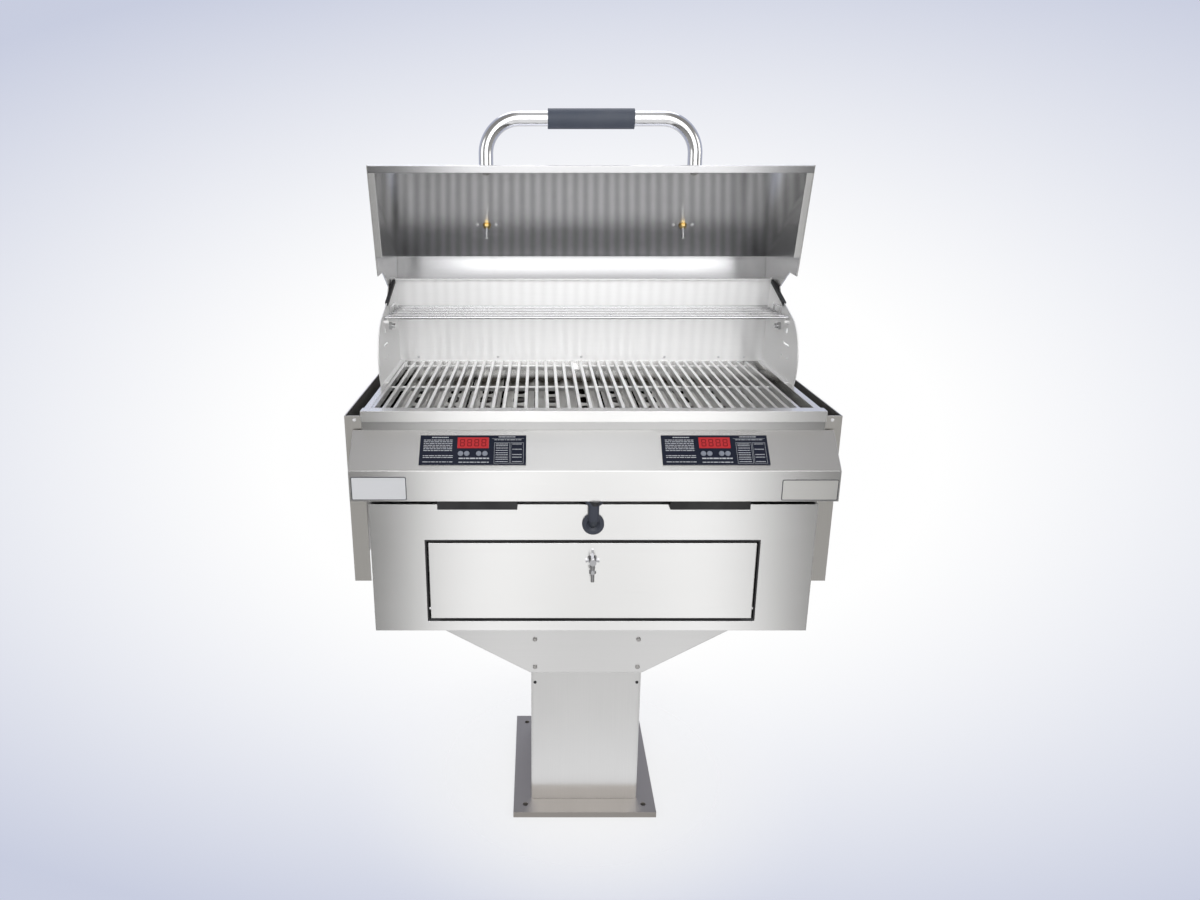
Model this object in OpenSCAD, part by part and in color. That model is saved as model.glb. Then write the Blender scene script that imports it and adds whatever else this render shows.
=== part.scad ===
// Electric park grill on a square pedestal, in millimetres.
// X to the right, Y to the back, Z up. The origin is the centre of the base plate's underside.
// The lid is drawn closed and then turned open about its pivots.

/* [Base and post] */
// Width of the base plate
plate_w = 305; // [290:1:400]
// Depth of the base plate
plate_d = 350; // [330:1:450]
// Thickness of the base plate
plate_t = 12.7; // [8:0.1:20]
// Distance from the plate's long edges to the anchor holes
anchor_edge_x = 25.5; // [15:0.5:28]
// Distance from the plate's front and back edges to the anchor holes
anchor_edge_y = 26; // [15:0.5:28]
// Radius of the anchor holes
anchor_r = 5.5; // [4:0.1:8]
// Radius of the wiring hole in the base plate
wiring_r = 30; // [15:1:50]
// Width of the post
post_w = 228; // [200:1:240]
// Depth of the post
post_d = 257; // [220:1:270]
// Height of the post
post_h = 476.3; // [400:1:700]
// Wall of the post
post_wall = 3; // [2:0.5:5]
// Width of the post's front lips
post_lip = 24; // [18:1:40]
// Height from the base plate to the foot of the gussets
gusset_z = 313.3; // [250:1:340]

/* [Cabinet] */
// Width of the lower cabinet
cabinet_w = 812; // [760:1:830]
// Depth of the lower cabinet
cabinet_d = 500; // [480:1:520]
// Height of the lower cabinet
cabinet_h = 254; // [230:1:300]
// Width of the door opening
opening_w = 614; // [500:1:680]
// Height of the door opening
opening_h = 165.5; // [140:0.5:185]
// Height of the opening above the cabinet's floor
opening_rise = 19.5; // [14:0.5:24]
// Gap round the door
door_gap = 6.5; // [5:0.5:9]

/* [Grill body] */
// Width of the firebox
firebox_w = 838; // [835:1:870]
// Inner depth of the firebox, from the front wall to the back
firebox_d = 464; // [440:1:480]
// Height of the firebox, from the cabinet to the cooking rim
firebox_h = 163; // [155:1:200]
// Height of the front band of the rim
band_h = 20; // [14:1:26]
// Depth of the top of the front rim
rim_d = 25; // [20:1:32]
// Distance from the firebox's side to the outer face of a side skin
skin_stand = 31; // [28:1:50]
// Height of the side skins
skin_h = 327; // [250:1:340]
// Number of grate bars in each half
bars = 20; // [10:1:20]
// Distance between grate bars
bar_pitch = 19.9; // [18:0.1:20.2]
// Width of a grate bar
bar_w = 6; // [4:0.5:8]
// Number of heat plates
strips = 11; // [7:1:11]
// Distance between heat plates
strip_pitch = 70.3; // [60:0.1:70.3]

/* [Console] */
// Width by which the console passes the firebox at each side
console_over = 16; // [12:1:26]
// Height of the console's upright face
console_face = 57; // [45:1:70]
// Rise of the console's slanted face
console_rise = 56; // [45:1:60]
// Depth of the console's slanted face
console_run = 60; // [50:1:70]
// Width of a control panel
panel_w = 190; // [160:1:220]
// Height of a control panel
panel_h = 60; // [50:1:66]

/* [Lid] */
// Width by which the lid passes the firebox at each side
lid_over = 6; // [6:1:20]
// Angle by which the lid stands open
lid_open = 84.1; // [60:0.1:84.1]
// Width of the lid's return flanges
lid_flange = 14; // [8:1:18]
// Distance between the handle's legs
handle_span = 398; // [300:1:560]
// Distance from the lid to the middle of the handle's bar
handle_reach = 94; // [84:1:130]
// Radius of the handle's tube
handle_r = 14; // [10:0.5:16]
// Radius of the handle's bends
handle_bend = 64; // [40:1:70]
// Length of the handle's sleeve
sleeve_l = 163; // [80:1:200]
// Distance between the two thermometers
gauge_span = 418; // [200:1:600]
// Radius of a thermometer's case
gauge_r = 38; // [28:1:45]

/* [Hidden] */
$fn = 48;

// Shared values
overrun = 1;
sheet = 2;
play = 0.05;
hole_play = 0.3;
seat = 0.3;
bolt_r = 2.9;
bolt_head_r = 4.6;
bolt_head_h = 3;
small_screw_r = 2;
small_head_r = 3.2;
small_head_h = 2;

// Heights of the main levels
cabinet_z = plate_t + post_h;
cabinet_top = cabinet_z + cabinet_h;
rim_z = cabinet_top + firebox_h;
cabinet_front_y = -cabinet_d / 2;

// Post and gussets
cover_margin = 3;
cover_screw_drop = 24;
cover_screw_in = 8;
gusset_overhang = 2;
gusset_flange = 22;
gusset_bolt_low = 13;
gusset_bolt_high = 77;
post_top_hole_w = 180;
post_top_hole_d = 190;

// Cabinet door and its fittings
door_depth = 12;
hinge_in_y = 6;
hinge_rise = 18;
hinge_r = 3;
gasket_w = 3;
block_w = 24;
block_h = 4.8;
frame_flange = 12;
door_w = opening_w - 2 * door_gap;
door_h = opening_h - 2 * door_gap;
opening_z = cabinet_z + opening_rise;
door_z = opening_z + door_gap;
hinge_y = cabinet_front_y + hinge_in_y;
hinge_z = door_z + hinge_rise;
latch_rise = 121;
latch_z = door_z + latch_rise;
latch_boss_r = 9;
latch_boss_h = 9;
latch_shaft_r = 4;
latch_horn_reach = 13;
latch_stem_l = 39;
latch_stem_r = 4.6;
latch_thread_r = 3.4;
latch_nut_r = 6.4;
latch_nut_h = 6;
latch_nut_share = 0.42;
latch_cam_l = 44;
latch_cam_w = 12;
latch_cam_t = 3;
latch_cam_gap = 1.5;
cabinet_screw_in = 10;
cabinet_screw_low = 35;
cabinet_screw_high = 101;

// Conduit between the console and the cabinet
conduit_r = 8;
conduit_stand = 0.5;
conduit_bend = 11;
conduit_end_in = 45;
grommet_r = 20;
grommet_flange = 4;
grommet_neck_r = 13.5;
grommet_hole_r = 11.5;
grommet_drop = 36.5;
gland_top_r = 15;
gland_low_r = 12;
gland_h = 9;
gland_shift_x = 2;
gland_back_y = 3;

// Firebox and what lies in it
firebox_front_y = -204;
firebox_back_y = firebox_front_y + firebox_d + 2 * sheet;
rim_front = 6;
rim_lip = 10;
side_ledge = 10;
drain_r = 18;
drain_l = 12;
ledge_d = 30;
grate_top_drop = 1;
bar_h = 12;
cross_h = 4;
cross_w = 10;
cross_middle_share = 0.485;
bar_front_gap = 1;
bar_back_gap = 21;
grate_side = 13;
strip_w = 66;
strip_t = 1.5;
strip_ridge = 8;
strip_flat = 34;
strip_drop = 46;
slot_w = 24;
slots = 5;
slot_l_share = 0.1207;
slot_pitch_share = 0.168;
slot_shift_share = 0.0323;
element_r = 4.5;
element_runs = 6;
element_stub = 8;
element_drop = 30;
element_middle_gap = 24;
element_side_gap = 30;
element_leg = 12;
rest_bar_w = 12;
rest_bar_t = 4;
tray_w = 560;
tray_d = 380;
tray_h = 28;
tray_wall = 1.5;
tray_gap = 14;
rail_w = 14;
ear_gap = 3;
ear_h = 24;
ear_drop = 36;

// Side skins
skin_t = 2;
skin_top_drop = 11;
skin_front_in = 4;
skin_back_in = 2;
skin_screw_drop = 4.5;

// Console
console_gap = 12;
console_z = cabinet_top + console_gap;
console_depth = 62;
console_front_y = firebox_front_y - console_depth;
slant = atan2(console_rise, console_run);
panel_t = 2;
panel_share = 0.4966;
panel_low = 12;
window_w = 56;
window_h = 22;
window_drop = 4.6;
window_t = 2.3;
button_r = 4.9;
button_play = 0.1;
button_drop = 37.7;
button_out = 1.6;
button_in = 4.5;
button_shares = [-1, -0.49, 0.49, 1];
button_reach = 21.7;
pocket_margin = 3;
grip_shares = [0.315, 0.644];
grip_h = 17;
grip_d = 12;
grip_in = 3;
console_screw_rise = 14;
console_screw_in = 12;

// Back wall, cheeks and warming rack
wall_rise = 186;
wall_lean = 23;
wall_below = 34;
wall_flange = 10;
rivet_rise = 5;
rivet_r = 3;
rivet_h = 1.6;
rivet_shares = [-0.9, -0.46, 0, 0.46, 0.76, 0.9];
cheek_t = 2;
cheek_r = 86;
cheek_d = 273;
cheek_belly_rise = 45.4;
cheek_slope = 17.6;
cheek_foot = 10;
trim_w = 6;
trim_h = 8;
trim_low = 70;
trim_l = 116;
stud_r = 4;
stud_l = 10;
rack_rise = 125;
rod_r = 3;
wire_r = 2;
rack_back_in = 26;
rack_d = 166;
rack_wires = 8;
rack_side_gap = 3;
bail_steps = [1.5, 3.75];
bail_h = 22;

// Lid, in its closed position
pivot_in = 129;
pivot_rise = 98;
pivot_r = 5;
pivot_head_r = 8;
pivot_head_h = 6;
pivot_end = 7;
lid_t = 2;
lip_in = 4;
lip_rise = 10;
crease_in = 240;
crease_rise = 297.5;
tail_in = 10.4;
tail_rise = 233.4;
handle_along = 20;
handle_tilt = 8;
sleeve_t = 4.5;
handle_bolt_r = 4;
handle_bolt_l = 16;
gauge_along = 220;
gauge_depth = 13;
gauge_rim = 3;
gauge_floor = 2;
lens_t = 1.5;
needle_r = 26;
needle_w = 3;
needle_t = 0.8;
needle_hub_r = 3.5;
needle_pin_r = 1;
needle_gap = 1;
stem_r = 3;
stem_l = 34;
nut_r = 7.5;
nut_h = 6;
nut_washer_r = 9;
nut_washer_h = 1;
gauge_screw_x = 20;

// Levels that follow from the values above
grate_top = rim_z - grate_top_drop;
ledge_z = grate_top - bar_h - cross_h;
strip_z = rim_z - strip_drop;
strip_ledge_z = strip_z - strip_ridge - strip_t;
element_z = strip_z - element_drop;
inner_x = firebox_w / 2 - sheet;
side_top = rim_z - 2 * sheet;
lid_x = firebox_w / 2 + lid_over;
console_w = firebox_w + 2 * console_over;
panel_x = panel_share * console_w / 2;
pivot = [0, firebox_back_y - pivot_in, rim_z + pivot_rise];
lip = [firebox_front_y + lip_in, rim_z + lip_rise];
crease = [firebox_back_y - crease_in, rim_z + crease_rise];
tail = [firebox_back_y - tail_in, rim_z + tail_rise];
lid_slope = atan2(crease[1] - lip[1], crease[0] - lip[0]);
tail_slope = atan2(tail[1] - crease[1], tail[0] - crease[0]);
wall_foot_y = firebox_back_y;
wall_top = rim_z + wall_rise;
cheek_x = inner_x + sheet - cheek_t;
rack_z = rim_z + rack_rise;
rack_back_y = firebox_back_y - rack_back_in;
rack_front_y = rack_back_y - rack_d;
ear_w = skin_stand - skin_t - ear_gap;
slot_l = slot_l_share * firebox_d;
slot_pitch = slot_pitch_share * firebox_d;
slot_middle_y = firebox_front_y + sheet + firebox_d * (0.5 - slot_shift_share);
element_pitch = firebox_d / (element_runs + 2);

// Copies its children at both signs of x
module both(x) {
    for (side = [-1, 1]) translate([side * x, 0, 0]) children();
}

// A block given by its low and high corners
module block(low, high) {
    translate(low) cube(high - low);
}

// Extrudes a flat outline given as [y, z] along X, from low_x to high_x
module along_x(low_x, high_x) {
    translate([low_x, 0, 0]) rotate([90, 0, 90]) linear_extrude(high_x - low_x) children();
}

// Extrudes a flat outline given as [x, z] along Y, from low_y to high_y
module along_y(low_y, high_y) {
    translate([0, high_y, 0]) rotate([90, 0, 0]) linear_extrude(high_y - low_y) children();
}

// A round bar along X
module rod_x(r, low_x, high_x) {
    translate([low_x, 0, 0]) rotate([0, 90, 0]) cylinder(r = r, h = high_x - low_x);
}

// A domed screw: its head stands up from the ground plane and its shank goes down
module screw(head_r, head_h, shank_r, shank_l) {
    rotate_extrude()
        polygon([[0, -shank_l], [shank_r, -shank_l], [shank_r, 0], [head_r, 0],
            [head_r, head_h / 2], [head_r * 0.7, head_h], [0, head_h]]);
}

module plate_bolt() screw(bolt_head_r, bolt_head_h, bolt_r, 2 * post_wall + sheet);
module small_screw(l) screw(small_head_r, small_head_h, small_screw_r, l);

module base_plate() {
    color([0.56, 0.56, 0.57]) difference() {
        block([-plate_w / 2, -plate_d / 2, 0], [plate_w / 2, plate_d / 2, plate_t]);
        for (y = [-1, 1]) translate([0, y * (plate_d / 2 - anchor_edge_y), -overrun])
            both(plate_w / 2 - anchor_edge_x) cylinder(r = anchor_r, h = plate_t + 2 * overrun);
        translate([0, 0, -overrun]) cylinder(r = wiring_r, h = plate_t + 2 * overrun);
    }
}

// Places its children on the post's front at a height, facing forwards
module on_front(y, z) {
    translate([0, y, z]) rotate([90, 0, 0]) children();
}

gusset_foot = plate_t + gusset_z;
gusset_bolt_z = [gusset_foot + gusset_bolt_low, gusset_foot + gusset_bolt_high];
cover_screw_z = gusset_foot - cover_screw_drop;
cover_half = post_w / 2 - cover_margin;
screw_x = post_w / 2 - cover_screw_in;

// Holes for the bolts of both gussets, through everything on the post's front and back
module gusset_holes(r) {
    for (z = gusset_bolt_z) both(screw_x) translate([0, post_d, z]) rotate([90, 0, 0])
        cylinder(r = r, h = 2 * post_d);
}

module post() {
    color([0.78, 0.78, 0.78]) difference() {
        block([-post_w / 2, -post_d / 2, plate_t], [post_w / 2, post_d / 2, cabinet_z]);
        block([-post_w / 2 + post_wall, -post_d / 2 + post_wall, plate_t - overrun],
            [post_w / 2 - post_wall, post_d / 2 - post_wall, cabinet_z + overrun]);
        block([-post_w / 2 + post_lip, -post_d, plate_t - overrun],
            [post_w / 2 - post_lip, 0, cabinet_z + overrun]);
        gusset_holes(bolt_r + hole_play);
        both(screw_x) on_front(0, cover_screw_z) cylinder(r = small_screw_r + play, h = post_d);
    }
}

module post_cover() {
    color([0.82, 0.82, 0.82]) difference() {
        block([-cover_half, -post_d / 2 - sheet, plate_t + seat],
            [cover_half, -post_d / 2, gusset_foot - seat]);
        both(screw_x) on_front(0, cover_screw_z) cylinder(r = small_screw_r + play, h = post_d);
    }
}

module cover_screws() {
    color([0.5, 0.5, 0.52]) both(screw_x)
        on_front(-post_d / 2 - sheet, cover_screw_z) small_screw(sheet + post_wall);
}

// The gusset's outline as [x, z], drawn in by the given inset along every edge
function gusset_outline(inset) =
    let (
        foot = post_w / 2 + gusset_overhang,
        top = cabinet_w / 2 - sheet,
        slope = atan2(cabinet_z - gusset_foot, top - foot),
        shift = inset / sin(slope),
        run = inset / tan(slope)
    ) [
        [-foot + shift - run, gusset_foot + inset], [foot - shift + run, gusset_foot + inset],
        [top - shift - run, cabinet_z - inset], [-top + shift + run, cabinet_z - inset]
    ];

// A folded gusset tray against the post's front: a plate with a flange round its edges
module gusset() {
    front = -post_d / 2 - post_wall;
    difference() {
        along_y(front, front + gusset_flange) polygon(gusset_outline(0));
        along_y(front + post_wall, front + gusset_flange + overrun)
            polygon(gusset_outline(post_wall));
        block([-post_w / 2 - gusset_overhang, -post_d / 2, gusset_foot - overrun],
            [post_w / 2 + gusset_overhang, 0, cabinet_z + overrun]);
        gusset_holes(bolt_r + hole_play);
    }
}

module gusset_front() {
    color([0.84, 0.84, 0.84]) gusset();
}

module gusset_rear() {
    color([0.84, 0.84, 0.84]) mirror([0, 1, 0]) gusset();
}

module gusset_screws() {
    color([0.5, 0.5, 0.52]) for (turn = [0, 180], z = gusset_bolt_z) rotate([0, 0, turn])
        both(screw_x) on_front(-post_d / 2 - post_wall, z) plate_bolt();
}

// Holes for the screws that hold the cabinet's front to its sides
module cabinet_screw_places() {
    for (side = [-1, 1], z = [cabinet_screw_low, cabinet_screw_high])
        translate([side * (cabinet_w / 2), cabinet_front_y + cabinet_screw_in, cabinet_z + z])
            rotate([0, side * 90, 0]) children();
}

cabinet_side_in = 2 * sheet;

module cabinet_shell() {
    half = cabinet_w / 2 - sheet;
    color([0.74, 0.74, 0.74]) difference() {
        block([-half, cabinet_front_y + sheet, cabinet_z], [half, -cabinet_front_y, cabinet_top]);
        block([-half + sheet, cabinet_front_y, cabinet_z + sheet],
            [half - sheet, -cabinet_front_y - sheet, cabinet_top + overrun]);
        block([-post_top_hole_w / 2, -post_top_hole_d / 2, cabinet_z - overrun],
            [post_top_hole_w / 2, post_top_hole_d / 2, cabinet_z + sheet + overrun]);
        cabinet_screw_places() translate([0, 0, -2 * cabinet_side_in])
            cylinder(r = small_screw_r + play, h = 2 * cabinet_side_in);
    }
}

module cabinet_front() {
    half = cabinet_w / 2;
    side_l = 2 * cabinet_screw_in;
    color([0.85, 0.85, 0.85]) difference() {
        union() {
            block([-half, cabinet_front_y, cabinet_z], [half, cabinet_front_y + sheet, cabinet_top]);
            for (side = [0, 1]) mirror([side, 0, 0])
                block([half - sheet, cabinet_front_y, cabinet_z],
                    [half, cabinet_front_y + side_l, cabinet_top]);
            block([-opening_w / 2 - sheet, cabinet_front_y, opening_z - sheet],
                [opening_w / 2 + sheet, cabinet_front_y + frame_flange, opening_z + opening_h + sheet]);
        }
        block([-opening_w / 2, cabinet_front_y - overrun, opening_z],
            [opening_w / 2, cabinet_front_y + frame_flange + overrun, opening_z + opening_h]);
        on_front(cabinet_front_y + sheet + overrun, cabinet_top - grommet_drop)
            cylinder(r = grommet_neck_r, h = sheet + 2 * overrun);
        translate([0, hinge_y, hinge_z]) rod_x(hinge_r + play, -half + sheet, half - sheet);
        cabinet_screw_places() translate([0, 0, -cabinet_side_in])
            cylinder(r = small_screw_r + play, h = 2 * cabinet_side_in);
    }
}

module cabinet_screws() {
    color([0.5, 0.5, 0.52]) cabinet_screw_places() small_screw(2 * sheet);
}

module door() {
    half = door_w / 2;
    color([0.87, 0.87, 0.88]) difference() {
        block([-half, cabinet_front_y, door_z], [half, cabinet_front_y + door_depth, door_z + door_h]);
        block([-half + sheet, cabinet_front_y + sheet, door_z + sheet],
            [half - sheet, cabinet_front_y + door_depth + overrun, door_z + door_h - sheet]);
        translate([0, hinge_y, hinge_z]) rod_x(hinge_r + play, -half - overrun, half + overrun);
        on_front(cabinet_front_y + sheet + overrun, latch_z)
            cylinder(r = latch_shaft_r + play, h = sheet + 2 * overrun);
    }
}

module door_gasket() {
    half = opening_w / 2;
    back = cabinet_front_y + frame_flange;
    color([0.08, 0.08, 0.09]) difference() {
        block([-half, cabinet_front_y, opening_z], [half, back, opening_z + opening_h]);
        block([-half + gasket_w, cabinet_front_y - overrun, opening_z + gasket_w],
            [half - gasket_w, back + overrun, opening_z + opening_h - gasket_w]);
        for (side = [0, 1]) mirror([side, 0, 0])
            block([half - block_w, cabinet_front_y - overrun, opening_z - overrun],
                [half + overrun, back + overrun, opening_z + block_h + seat]);
        translate([0, hinge_y, hinge_z]) rod_x(hinge_r + hole_play, -half - overrun, half + overrun);
    }
}

module hinge_blocks() {
    half = opening_w / 2;
    color([0.1, 0.1, 0.11]) for (side = [0, 1]) mirror([side, 0, 0])
        block([half - block_w, cabinet_front_y + sheet / 2, opening_z],
            [half, cabinet_front_y + frame_flange, opening_z + block_h]);
}

module hinge_pins() {
    color([0.85, 0.85, 0.86]) for (side = [0, 1]) mirror([side, 0, 0])
        translate([0, hinge_y, hinge_z])
            rod_x(hinge_r, door_w / 2 - 2 * sheet, opening_w / 2 + 2 * sheet);
}

module latch_base() {
    color([0.8, 0.8, 0.82]) on_front(cabinet_front_y, latch_z) difference() {
        union() {
            cylinder(r = latch_boss_r, h = latch_boss_h / 3);
            cylinder(r = latch_boss_r * 0.75, h = latch_boss_h);
            for (tilt = [-12, 192]) rotate([0, 0, tilt])
                translate([0, -latch_shaft_r / 2, 0])
                    cube([latch_horn_reach, latch_shaft_r, latch_boss_h * 0.6]);
            translate([-latch_shaft_r / 2, 0, 0])
                cube([latch_shaft_r, latch_horn_reach * 1.5, latch_boss_h / 3]);
        }
        translate([0, 0, -overrun])
            cylinder(r = latch_shaft_r + play, h = latch_boss_h + 2 * overrun);
    }
}

// Chromed lever outside, shaft through the door and a cam behind it, which points aside at rest
module latch_handle() {
    shaft_in = door_depth + latch_cam_gap;
    head_z = latch_boss_h + seat;
    color([0.85, 0.85, 0.87]) on_front(cabinet_front_y, latch_z) union() {
        translate([0, 0, -shaft_in - latch_cam_t])
            cylinder(r = latch_shaft_r, h = shaft_in + latch_cam_t + head_z + latch_stem_r);
        translate([0, 0, head_z]) cylinder(r = latch_boss_r * 0.7, h = 2 * latch_stem_r);
        translate([0, 0, head_z + latch_stem_r]) rotate([90, 0, 0]) union() {
            cylinder(r = latch_stem_r * 0.9, h = latch_stem_l * latch_nut_share + latch_nut_h / 2);
            translate([0, 0, latch_stem_l * latch_nut_share])
                cylinder(r = latch_thread_r, h = latch_stem_l * (1 - latch_nut_share));
            translate([0, 0, latch_stem_l * latch_nut_share])
                cylinder(r = latch_nut_r, h = latch_nut_h, $fn = 6);
        }
        translate([-latch_cam_w / 2, -latch_cam_w / 2, -shaft_in - latch_cam_t])
            cube([latch_cam_l + latch_cam_w / 2, latch_cam_w, latch_cam_t]);
    }
}

conduit_y = cabinet_front_y - conduit_r - conduit_stand;
conduit_z = cabinet_top - grommet_drop;

module conduit() {
    color([0.17, 0.19, 0.24]) {
        translate([0, conduit_y, conduit_z + conduit_bend])
            cylinder(r = conduit_r, h = console_z - gland_h - conduit_z - conduit_bend);
        translate([0, conduit_y + conduit_bend, conduit_z + conduit_bend]) rotate([90, 0, -90])
            rotate([0, 0, -90]) rotate_extrude(angle = 90)
                translate([conduit_bend, 0]) circle(r = conduit_r);
        translate([0, conduit_y + conduit_bend, conduit_z]) rotate([-90, 0, 0])
            cylinder(r = conduit_r, h = conduit_end_in);
    }
}

module conduit_gland() {
    color([0.12, 0.13, 0.16]) translate([gland_shift_x, conduit_y + gland_back_y, console_z - gland_h])
        cylinder(r1 = gland_low_r, r2 = gland_top_r, h = gland_h);
}

// Dished ring in the cabinet's front, open at its top where the conduit comes in
module grommet() {
    color([0.2, 0.22, 0.27]) on_front(cabinet_front_y, conduit_z) difference() {
        union() {
            cylinder(r1 = grommet_r, r2 = grommet_r * 0.92, h = grommet_flange);
            translate([0, 0, -sheet - grommet_flange])
                cylinder(r = grommet_neck_r - play, h = sheet + grommet_flange);
        }
        translate([0, 0, -sheet - 2 * grommet_flange])
            cylinder(r = grommet_hole_r, h = sheet + 4 * grommet_flange);
        translate([-grommet_hole_r, 0, 0])
            cube([2 * grommet_hole_r, 2 * grommet_r, 2 * grommet_flange]);
    }
}

module grip_strips() {
    color([0.06, 0.06, 0.07]) for (side = [0, 1]) mirror([side, 0, 0])
        block([grip_shares[0] * console_w / 2, console_front_y + grip_in, console_z - grip_h],
            [grip_shares[1] * console_w / 2, console_front_y + grip_in + grip_d, console_z]);
}

front_wall_y = firebox_front_y + sheet;
rim_front_y = firebox_front_y - rim_front;
rim_back_y = rim_front_y + rim_d;
back_in_y = firebox_back_y - sheet;

// Cross-section of the front wall with its folded cooking rim
module front_section() {
    union() {
        translate([firebox_front_y, cabinet_top]) square([sheet, firebox_h - band_h + sheet]);
        translate([rim_front_y, rim_z - band_h]) square([rim_front + sheet, sheet]);
        translate([rim_front_y, rim_z - band_h]) square([sheet, band_h]);
        translate([rim_front_y, rim_z - sheet]) square([rim_d, sheet]);
        translate([rim_back_y - sheet, rim_z - rim_lip]) square([sheet, rim_lip]);
    }
}

// Angle that carries the grates or the heat plates along a wall
module ledge(y, z) {
    block([-inner_x, y, z - sheet], [inner_x, y + ledge_d, z]);
}

module firebox() {
    half = firebox_w / 2;
    color([0.8, 0.8, 0.81]) difference() {
        union() {
            along_x(-half, half) front_section();
            for (side = [0, 1]) mirror([side, 0, 0]) {
                block([inner_x, firebox_front_y, cabinet_top], [half, firebox_back_y, side_top]);
                block([inner_x - side_ledge, rim_back_y, side_top - sheet],
                    [half, firebox_back_y, side_top]);
                block([half, firebox_front_y + skin_front_in + skin_t, rim_z - ear_drop],
                    [half + ear_w, firebox_front_y + skin_front_in + skin_t + sheet,
                        rim_z - ear_drop + ear_h]);
            }
            block([-half, back_in_y, cabinet_top], [half, firebox_back_y, side_top]);
            block([-half, firebox_front_y, cabinet_top], [half, firebox_back_y, cabinet_top + sheet]);
            ledge(front_wall_y, ledge_z);
            ledge(back_in_y - ledge_d, ledge_z);
            ledge(front_wall_y, strip_ledge_z);
            ledge(back_in_y - ledge_d, strip_ledge_z);
            for (share = [-0.8, -0.25, 0.25, 0.8])
                block([share * inner_x, front_wall_y, element_z - element_r - rest_bar_t],
                    [share * inner_x + rest_bar_w, back_in_y, element_z - element_r]);
            translate([0, 0, cabinet_top - drain_l]) cylinder(r = drain_r + sheet, h = drain_l);
            for (side = [0, 1]) mirror([side, 0, 0]) tray_rail();
        }
        translate([0, 0, cabinet_top - drain_l - overrun])
            cylinder(r = drain_r, h = drain_l + sheet + 2 * overrun);
        for (side = [-1, 1]) ear_screw(side) translate([0, 0, -ear_w])
            cylinder(r = small_screw_r + play, h = 2 * ear_w);
        for (side = [0, 1]) mirror([side, 0, 0]) element_ends()
            translate([0, 0, -element_drop_l]) cylinder(r = element_r + hole_play, h = element_drop_l);
    }
}

// Runner under the firebox's floor for one edge of the grease tray
module tray_rail() {
    x = tray_w / 2 + seat;
    low = cabinet_top - tray_gap - tray_wall - seat;
    block([x + tray_wall, -tray_d / 2, low], [x + tray_wall + sheet, tray_d / 2, cabinet_top]);
    block([x - rail_w / 2, -tray_d / 2, low - sheet],
        [x + tray_wall + sheet, tray_d / 2, low]);
}

// Folded tray that hangs by its edges on the two runners
module grease_tray() {
    half = tray_w / 2;
    low = cabinet_top - tray_gap - tray_h;
    body = half - rail_w;
    color([0.7, 0.7, 0.71]) difference() {
        union() {
            block([-body, -tray_d / 2, low], [body, tray_d / 2, low + tray_h]);
            block([-half, -tray_d / 2, low + tray_h - tray_wall], [half, tray_d / 2, low + tray_h]);
        }
        block([-body + tray_wall, -tray_d / 2 + tray_wall, low + tray_wall],
            [body - tray_wall, tray_d / 2 - tray_wall, low + tray_h + overrun]);
    }
}

// Serpentine heating rod of one half
element_low_x = element_middle_gap;
element_high_x = inner_x - element_side_gap;
element_first_y = front_wall_y + 1.5 * element_pitch;
element_bend = element_pitch / 2;

element_drop_l = element_z + element_leg - cabinet_top;

// Places its children on the rod's two ends
module element_ends() {
    for (run = [0, element_runs - 1])
        translate([element_low_x + element_bend, element_first_y + run * element_pitch, element_z])
            children();
}

module element() {
    element_ends() translate([0, 0, -element_stub]) cylinder(r = element_r, h = element_stub);
    element_ends() sphere(r = element_r);
    for (run = [0:element_runs - 1]) translate([0, element_first_y + run * element_pitch, element_z])
        rod_x(element_r, element_low_x + element_bend, element_high_x - element_bend);
    for (turn = [0:element_runs - 2]) {
        right = turn % 2 == 0;
        translate([right ? element_high_x - element_bend : element_low_x + element_bend,
            element_first_y + (turn + 0.5) * element_pitch, element_z])
            rotate([0, 0, right ? -90 : 90]) rotate_extrude(angle = 180)
                translate([element_bend, 0]) circle(r = element_r);
    }
}

module heating_elements() {
    color([0.28, 0.28, 0.3]) for (side = [0, 1]) mirror([side, 0, 0]) element();
}

// Cold legs that carry the rods and go down through the firebox's floor into the cabinet
module element_legs() {
    color([0.5, 0.5, 0.5]) for (side = [0, 1]) mirror([side, 0, 0]) element_ends()
        translate([0, 0, -element_drop_l])
            cylinder(r = element_r, h = element_drop_l - element_stub);
}

// Cross-section of a heat plate: a flat with its slots between two raised slopes
module strip_section() {
    half = strip_w / 2;
    flat = strip_flat / 2;
    polygon([[-half, 0], [-flat, -strip_ridge], [flat, -strip_ridge], [half, 0],
        [half, -strip_t], [flat, -strip_ridge - strip_t], [-flat, -strip_ridge - strip_t],
        [-half, -strip_t]]);
}

module slot() {
    run = slot_l - slot_w;
    translate([0, 0, -strip_ridge - strip_t - overrun]) linear_extrude(strip_ridge + strip_t + 2 * overrun)
        union() {
            translate([-slot_w / 2, -run / 2]) square([slot_w, run]);
            for (side = [-1, 1]) translate([0, side * run / 2]) circle(d = slot_w);
        }
}

module heat_plates() {
    low = front_wall_y + 2 * sheet;
    high = back_in_y - 2 * sheet;
    color([0.55, 0.55, 0.5]) for (i = [0:strips - 1])
        translate([(i - (strips - 1) / 2) * strip_pitch, 0, strip_z]) difference() {
            along_y(low, high) strip_section();
            for (k = [0:slots - 1])
                translate([0, slot_middle_y + (k - (slots - 1) / 2) * slot_pitch, 0]) slot();
        }
}

// Grate of flat bars on three cross bars, from its first bar to the right
grate_front_y = rim_back_y + bar_front_gap;
grate_back_y = back_in_y - bar_back_gap;

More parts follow.
